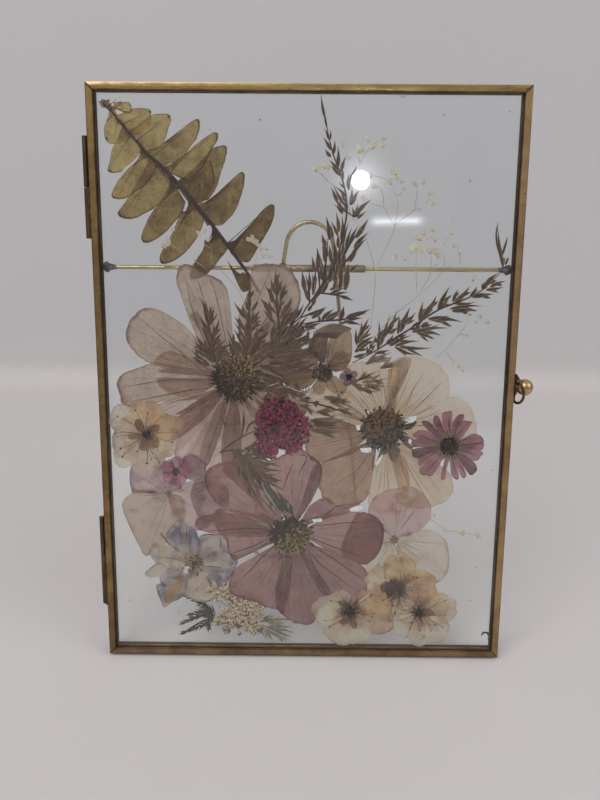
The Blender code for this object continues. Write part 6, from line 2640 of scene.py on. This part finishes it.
@dataclass(frozen=True)
class CrimsonUmbel:
    """A flat head of tiny crimson florets with a gap in it."""

    centre: Spot = (281, 428)
    rx: float = 25.5
    ry: float = 29.0
    count: int = 860
    gap: tuple[float, float, float, float] = (278, 448, 286, 460)

    def build(self, shop: Shop) -> None:
        """Makes the head.

        Args:
            shop: What the pieces are made with.
        """
        plant = Plant(shop, 0, 71)
        chance = plant.chance
        for at, (share, angle) in enumerate(spiral(self.count)):
            wobble = 1.0 + share * (0.1 * math.sin(angle * 3.0 + 1.0) + chance.uniform(-0.1, 0.1))
            u = self.centre[0] + self.rx * share * wobble * math.cos(angle) + chance.uniform(-1, 1)
            v = self.centre[1] + self.ry * share * wobble * math.sin(angle) + chance.uniform(-1, 1)
            if self.gap[0] < u < self.gap[2] and self.gap[1] < v < self.gap[3]:
                continue
            finish = 1 if chance.random() < 0.75 - 0.5 * share else 0
            plant.star((u, v), chance.uniform(0.5, 0.85), finish, 5, chance.uniform(0, 0.12))
            if at % 3 == 0:
                plant.star((u, v), 1.15, 1, 6, -0.06)
            if at % 4 == 0:
                plant.dot((u, v), 0.16, 2, 0.1)
            if at % 9 == 0:
                plant.stroke([(self.centre[0], self.centre[1] + 6), (u, v)], 0.1, 3, 0.0)
        plant.hand_in("crimson_umbel_pressed", "crimson_umbel", Slot.CRIMSON,
                      (CRIMSON, WINE, ANTHER, STALK))


@dataclass(frozen=True)
class PurpleDaisy:
    """A daisy with narrow notched rays, a ring of brown lashes and a dark middle."""

    centre: Spot = (449, 446)
    lashes: int = 150
    beads: int = 170
    rays: tuple[str, ...] = (
        "444 432 442 420 442 414 445 412 449 411 452 411 452 416 450 424 451 432",
        "440 436 434 424 433 419 435 416 437 415 440 419 442 426 444 434",
        "438 438 428 430 423 424 422 421 427 421 432 424 437 430 442 435",
        "436 442 424 439 414 437 414 433 421 430 429 432 438 438",
        "435 445 420 447 412 445 413 440 424 438 436 441",
        "436 450 424 455 418 458 413 456 412 451 416 448 436 446",
        "438 454 429 461 421 465 418 461 421 456 436 449",
        "443 458 437 469 431 476 426 474 423 475 419 470 426 463 438 453",
        "449 460 446 471 445 478 441 479 441 474 443 466 445 458",
        "450 460 451 474 454 478 457 479 459 476 455 460", "455 460 460 474 463 478 466 476 465 470 459 458",
        "458 458 466 469 470 475 474 473 477 469 474 462 462 454",
        "461 454 470 460 478 460 480 456 483 454 479 450 462 449",
        "462 450 472 450 480 450 483 448 482 442 462 446",
        "462 446 482 443 482 437 477 434 471 434 466 438 460 441",
        "460 440 467 430 471 424 473 422 468 421 463 421 459 428 456 436",
        "454 434 458 426 463 420 464 415 461 414 457 416 453 422 450 432",
    )

    def build(self, shop: Shop) -> None:
        """Makes the daisy.

        Args:
            shop: What the pieces are made with.
        """
        plant = Plant(shop, 0, 72)
        chance, centre = plant.chance, self.centre
        for index, ray in enumerate(self.rays):
            rim = trace(ray)
            plant.mould.fan(centre, rim, plant.depth + 0.012 * (index % 5), plant.vary(0.45, 0.3), 0,
                            24, 8, rag=0.16)
            u, v = rim[len(rim) // 2]
            for off in (-1.3, 0.2, 1.4):
                tip = between(centre, (u + off, v + off), chance.uniform(0.75, 0.95))
                plant.stroke([between(centre, (u, v), 0.4), tip], 0.07, 4, 0.02)
        for at, (_, angle) in enumerate(spiral(self.lashes)):
            near, far = chance.uniform(6, 10), chance.uniform(11, 18)
            bend = angle + chance.uniform(-0.14, 0.14)
            plant.stroke([plant.ahead(centre, angle, near), plant.ahead(centre, bend, far)], 0.11,
                         5 if at % 4 == 0 else 1, 0.04)
        plant.crowd(centre, 9.0, 9.0, self.beads, 0.28, (2,), lift=0.06)
        plant.hand_in("daisy_purple_pressed", "daisy_purple", Slot.MAUVE,
                      (RAY, BUD_TIP, ANTHER, STALK, RAY_LINE, POLLEN))


@dataclass(frozen=True)
class CreamCluster:
    """Clumps of small round dried florets, cream, with brown stars behind them and down to the right as
    painted shadow.

    A clump is three numbers: its middle and its radius, in picture coordinates.
    """

    clumps: str = (
        "226 588 5 232 598 5 222 593 5 239 597 4 246 598 4 254 599 5 259 602 4 262 605 3 236 605 5 "
        "245 605 4 254 607 5 230 611 5 222 610 4 240 612 4 248 613 5 258 614 4 262 616 3 236 618 5 "
        "226 618 5 218 620 5 252 622 5 258 626 4 243 620 4 227 628 4 232 625 3 248 627 4 254 631 3 "
        "214 586 4 210 590 3 238 632 2 217 598 3 232 584 3 250 593 3"
    )

    def build(self, shop: Shop) -> None:
        """Makes the cluster.

        Args:
            shop: What the pieces are made with.
        """
        plant = Plant(shop, 5, 73)
        chance = plant.chance
        for index, (u0, v0, size) in enumerate(trace(self.clumps, 3)):
            for bit, (share, turn) in enumerate(spiral(round(0.95 * size * size))):
                angle = turn + 3 * index
                u = u0 + size * share * math.cos(angle) + chance.uniform(-1, 1)
                v = v0 + size * share * math.sin(angle) + chance.uniform(-1, 1)
                pick = chance.choice((3, 3, 3, 3, 0, 2))
                plant.dot((u, v), 0.31 if pick == 2 else 0.4, pick, chance.uniform(0.02, 0.16))
                # Painted shadow: a brown star behind every third floret, offset down and to the right.
                if bit % 3 == 0:
                    plant.star((u + 1, v + 1), 0.9, 1, 5, -0.08)
            stalk = [(238, 628), ((238 + u0) / 2 + 2, (620 + v0) / 2), (u0, v0)]
            plant.stroke(stalk, 0.1, 2, -0.05)
        plant.hand_in("cream_cluster_pressed", "cream_cluster", Slot.CREAM,
                      (PressedPetal("petal_cluster", (176, 160, 136), (118, 96, 72), cover=0.4,
                                    cover_deep=0.5), HUSK, STALK,
                       DriedBit("cluster_floret", (186, 171, 149), (142, 122, 97))))


@dataclass(frozen=True)
class PressedGrit:
    """Specks of dirt between the panes, a hooked dark scrap, and pale bits near the corner painted as the
    glint of a chip in the glass.
    """

    specks: str = ("431 111 444 115 509 112 430 143 489 125 470 181 453 222 443 225 475 567 179 612 "
                   "447 240 392 205 150 300 122 330 486 400 492 470 130 600 470 600 260 120 210 130")

    def build(self, shop: Shop) -> None:
        """Makes the specks and the scrap.

        Args:
            shop: What the pieces are made with.
        """
        plant = Plant(shop, 3, 74)
        for place in trace(self.specks):
            plant.dot(place, plant.chance.uniform(0.1, 0.2), 0)
        plant.strokes(("481 635 483 632 487 632 489 635 488 639",), 0.42, 0)
        # Painted glint: pale bits where a chip in the glass catches the light.
        plant.dots("402 97 404 98 403 99 406 97", 0.22, 1)
        plant.hand_in("pressed_grit", "", Slot.BROWN, (GRIT, PAINTED_LIGHT_BIT), 0.03)


# ---- the studio -------------------------------------------------------------------------------

@dataclass(frozen=True)
class Studio:
    """A pale board that curves up into a wall, soft lamps, two small ones and the camera."""

    wall_y: float = 0.244
    wall_high: float = 1.6
    half_wide: float = 1.6
    near_y: float = -1.6
    cove: float = 0.016
    lens: float = 32.71
    sensor: float = 36.0
    sky: tuple[tuple[float, Colour], ...] = (
        (0.0, (0.31, 0.295, 0.29)), (1.0, (0.62, 0.62, 0.64)), (0.5, (0.245, 0.245, 0.26)),
        (0.62, (0.265, 0.27, 0.285)), (0.8, (0.5, 0.51, 0.535)),
    )
    lamps: tuple[tuple[str, Triple, float, float], ...] = (
        ("soft_key", (-0.55, -0.75, 1.15), 0.9, 6.3), ("soft_fill", (0.9, -0.5, 0.8), 0.8, 2.4),
        ("soft_rear", (0.2, 0.9, 1.2), 0.8, 2.1),
    )

    def board(self, shop: Shop) -> None:
        """The floor and the wall, as one bent sheet.

        Args:
            shop: What the pieces are made with.
        """
        start = self.wall_y - self.cove
        run = [Vector((self.near_y, 0.0)), Vector((start, 0.0))]
        for turn in (math.radians(15 * step) for step in range(1, 7)):
            run.append(Vector((start + self.cove * math.sin(turn),
                               self.cove - self.cove * math.cos(turn))))
        run.append(Vector((self.wall_y, self.wall_high)))
        rows = len(run) - 1
        mesh = bmesh.new()
        for vert in bmesh.ops.create_grid(mesh, x_segments=4, y_segments=rows, size=0.5)["verts"]:
            spot = run[round((vert.co.y + 0.5) * rows)]
            vert.co = Vector((vert.co.x * 2 * self.half_wide, spot.x, spot.y))
        mesh.normal_update()
        bmesh.ops.reverse_faces(mesh, faces=[face for face in mesh.faces
                                             if face.normal.z < -0.5 or face.normal.y > 0.5])
        board = settle("pale_board", mesh, 30.0, [shop.paint(PaleBoard())])

    def lamp(self, name: str, spot: Vector, aim: Vector, size: float, power: float,
             colour: Colour = (1.0, 0.985, 0.965), tall: float | None = None,
             core: Spot | None = None) -> None:
        """A soft lamp, round if it has no height.

        Args:
            name: The lamp's name.
            spot: Its place in metres.
            aim: The place it shines at.
            size: Its width in metres.
            power: Its power in watts.
            colour: Its colour.
            tall: Its height in metres, if it's square.
            core: Shares of its width and height that shine fully, if its edge is soft.
        """
        light = bpy.data.lights.new(name, "AREA")
        if core:
            self.soften(light, core)
        light.shape = "DISK" if tall is None else "RECTANGLE"
        light.size, light.energy, light.color = size, power, colour
        if tall is not None:
            light.size_y = tall
        lamp = bpy.data.objects.new(name, light)
        lamp.location = spot
        lamp.rotation_euler = (aim - spot).to_track_quat("-Z", "Y").to_euler()
        lamp.visible_camera = False
        bpy.context.scene.collection.objects.link(lamp)

    def soften(self, light: bpy.types.Light, core: Spot) -> None:
        """Lets a lamp fade from its bright core to its edge.

        Args:
            light: The lamp's own data.
            core: Shares of its width and height that shine fully.
        """
        n = Nodes(light)
        shine = next(node for node in n.tree.nodes if node.type == "EMISSION")
        parts = n.add("SeparateXYZ", {0: n.add("NewGeometry").outputs["Parametric"]})
        far = 0.0
        for off, share in zip(parts.outputs, core):
            past = n.math("MAXIMUM", n.math("SUBTRACT", n.off(off), share), 0.0)
            far = n.plus(far, n.math("POWER", n.math("DIVIDE", past, 1.0 - share), 2.0))
        fade = n.math("SUBTRACT", 1.0, n.math("POWER", far, 0.5), True)
        n.tree.links.new(n.math("POWER", fade, 3.0), shine.inputs["Strength"])

    def glint(self, shop: Shop, name: str, place: Spot, away: float, wide: float, tall: float,
              shine: float, core: Spot | None = None) -> None:
        """A small lamp that the front pane mirrors at a picture coordinate.

        Args:
            shop: What the pieces are made with.
            name: The lamp's name.
            place: Where in the picture the glint shows.
            away: The lamp's distance from the pane in millimetres.
            wide: The glint's width in picture units.
            tall: Its height in picture units, where it has a soft edge.
            shine: How bright it is.
            core: Shares of its width and height that shine fully, if its edge is soft.
        """
        space = shop.space
        flat = space.on_plane(*place, 0.6)
        spot = Vector((flat.x, 0.6, flat.y))
        ray = space.sight(*place).normalized()
        mirrored = Vector((ray.x, -ray.y, ray.z))
        world = space.matrix()
        scale = (away + (spot - Vector(space.eye)).length) / space.focal_px * MM
        size = Vector((wide * scale, tall * scale))
        self.lamp(name, world @ (spot + mirrored * away), world @ spot, size.x,
                  shine * math.pi * size.x * size.y, (0.86, 0.93, 1.0),
                  size.y if core else None, core)

    def air(self) -> None:
        """The pale air, brighter above, that lights the frame from all sides."""
        world = bpy.data.worlds.new("pale_air")
        n = Nodes(world)
        up = n.add("SeparateXYZ", {0: n.add("TexCoord").outputs["Generated"]}).outputs[2]
        lift = n.add("MapRange", {"Value": up, "From Min": -1.0})
        ramp = n.add("ValToRGB", {0: lift.outputs[0]})
        elements = ramp.color_ramp.elements
        for step, (place, colour) in enumerate(self.sky):
            element = elements[step] if step < 2 else elements.new(place)
            element.position, element.color = place, (*colour, 1.0)
        n.tree.links.new(ramp.outputs[0], n.tree.nodes["Background"].inputs["Color"])
        bpy.context.scene.world = world

    def build(self, shop: Shop) -> None:
        """Sets up the board, the air, the lamps and the camera.

        Args:
            shop: What the pieces are made with.
        """
        self.board(shop)
        scene = bpy.context.scene
        scene.view_settings.view_transform = "Standard"
        scene.cycles.transparent_max_bounces = 48
        scene.cycles.max_bounces = 12
        scene.cycles.diffuse_bounces = 8
        self.air()
        middle = Vector((0.0, 0.0, 0.09))
        for name, spot, size, power in self.lamps:
            self.lamp(name, Vector(spot), middle, size, power, tall=size)
        self.glint(shop, "round_glint", (361, 180), 700.0, 17.5, 17.5, 40.0)
        self.glint(shop, "round_halo", (361, 180), 690.0, 84, 84, 5.0, (0.0, 0.0))
        self.glint(shop, "long_glint", (397, 221), 700.0, 72, 22, 4.6, (0.5, 0.0))
        data = bpy.data.cameras.new("view")
        data.lens, data.sensor_width, data.sensor_fit = self.lens, self.sensor, "AUTO"
        data.clip_start, data.clip_end = 0.01, 20.0
        camera = bpy.data.objects.new("view", data)
        camera.matrix_world = shop.space.camera_matrix()
        scene.collection.objects.link(camera)
        scene.camera = camera


def main() -> None:
    """Builds the frame, its fittings, the dried plants and the studio."""
    logging.basicConfig(level=logging.INFO, format="%(message)s")
    shop = Shop()
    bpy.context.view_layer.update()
    BrassLeaf(Body.FRONT, depth=0.0).build(shop)
    BrassLeaf(Body.BACK, depth=2.7).build(shop)
    SideHinge("upper", low=137.2, joint=152.2, high=167.2).build(shop)
    SideHinge("lower", low=17.3, joint=35.2, high=47.8).build(shop)
    BallClasp().build(shop)
    EaselStand().build(shop)
    for part in (COSMOS_DUSTY, COSMOS_CREAM, COSMOS_MAUVE, FernFrond(), *SPRAYS, *BREATH, *PLUMS,
                 *LOOSE, CrimsonUmbel(), PurpleDaisy(), CreamCluster(), PressedGrit()):
        part.build(shop)
    Studio().build(shop)


if __name__ == "__main__":
    main()
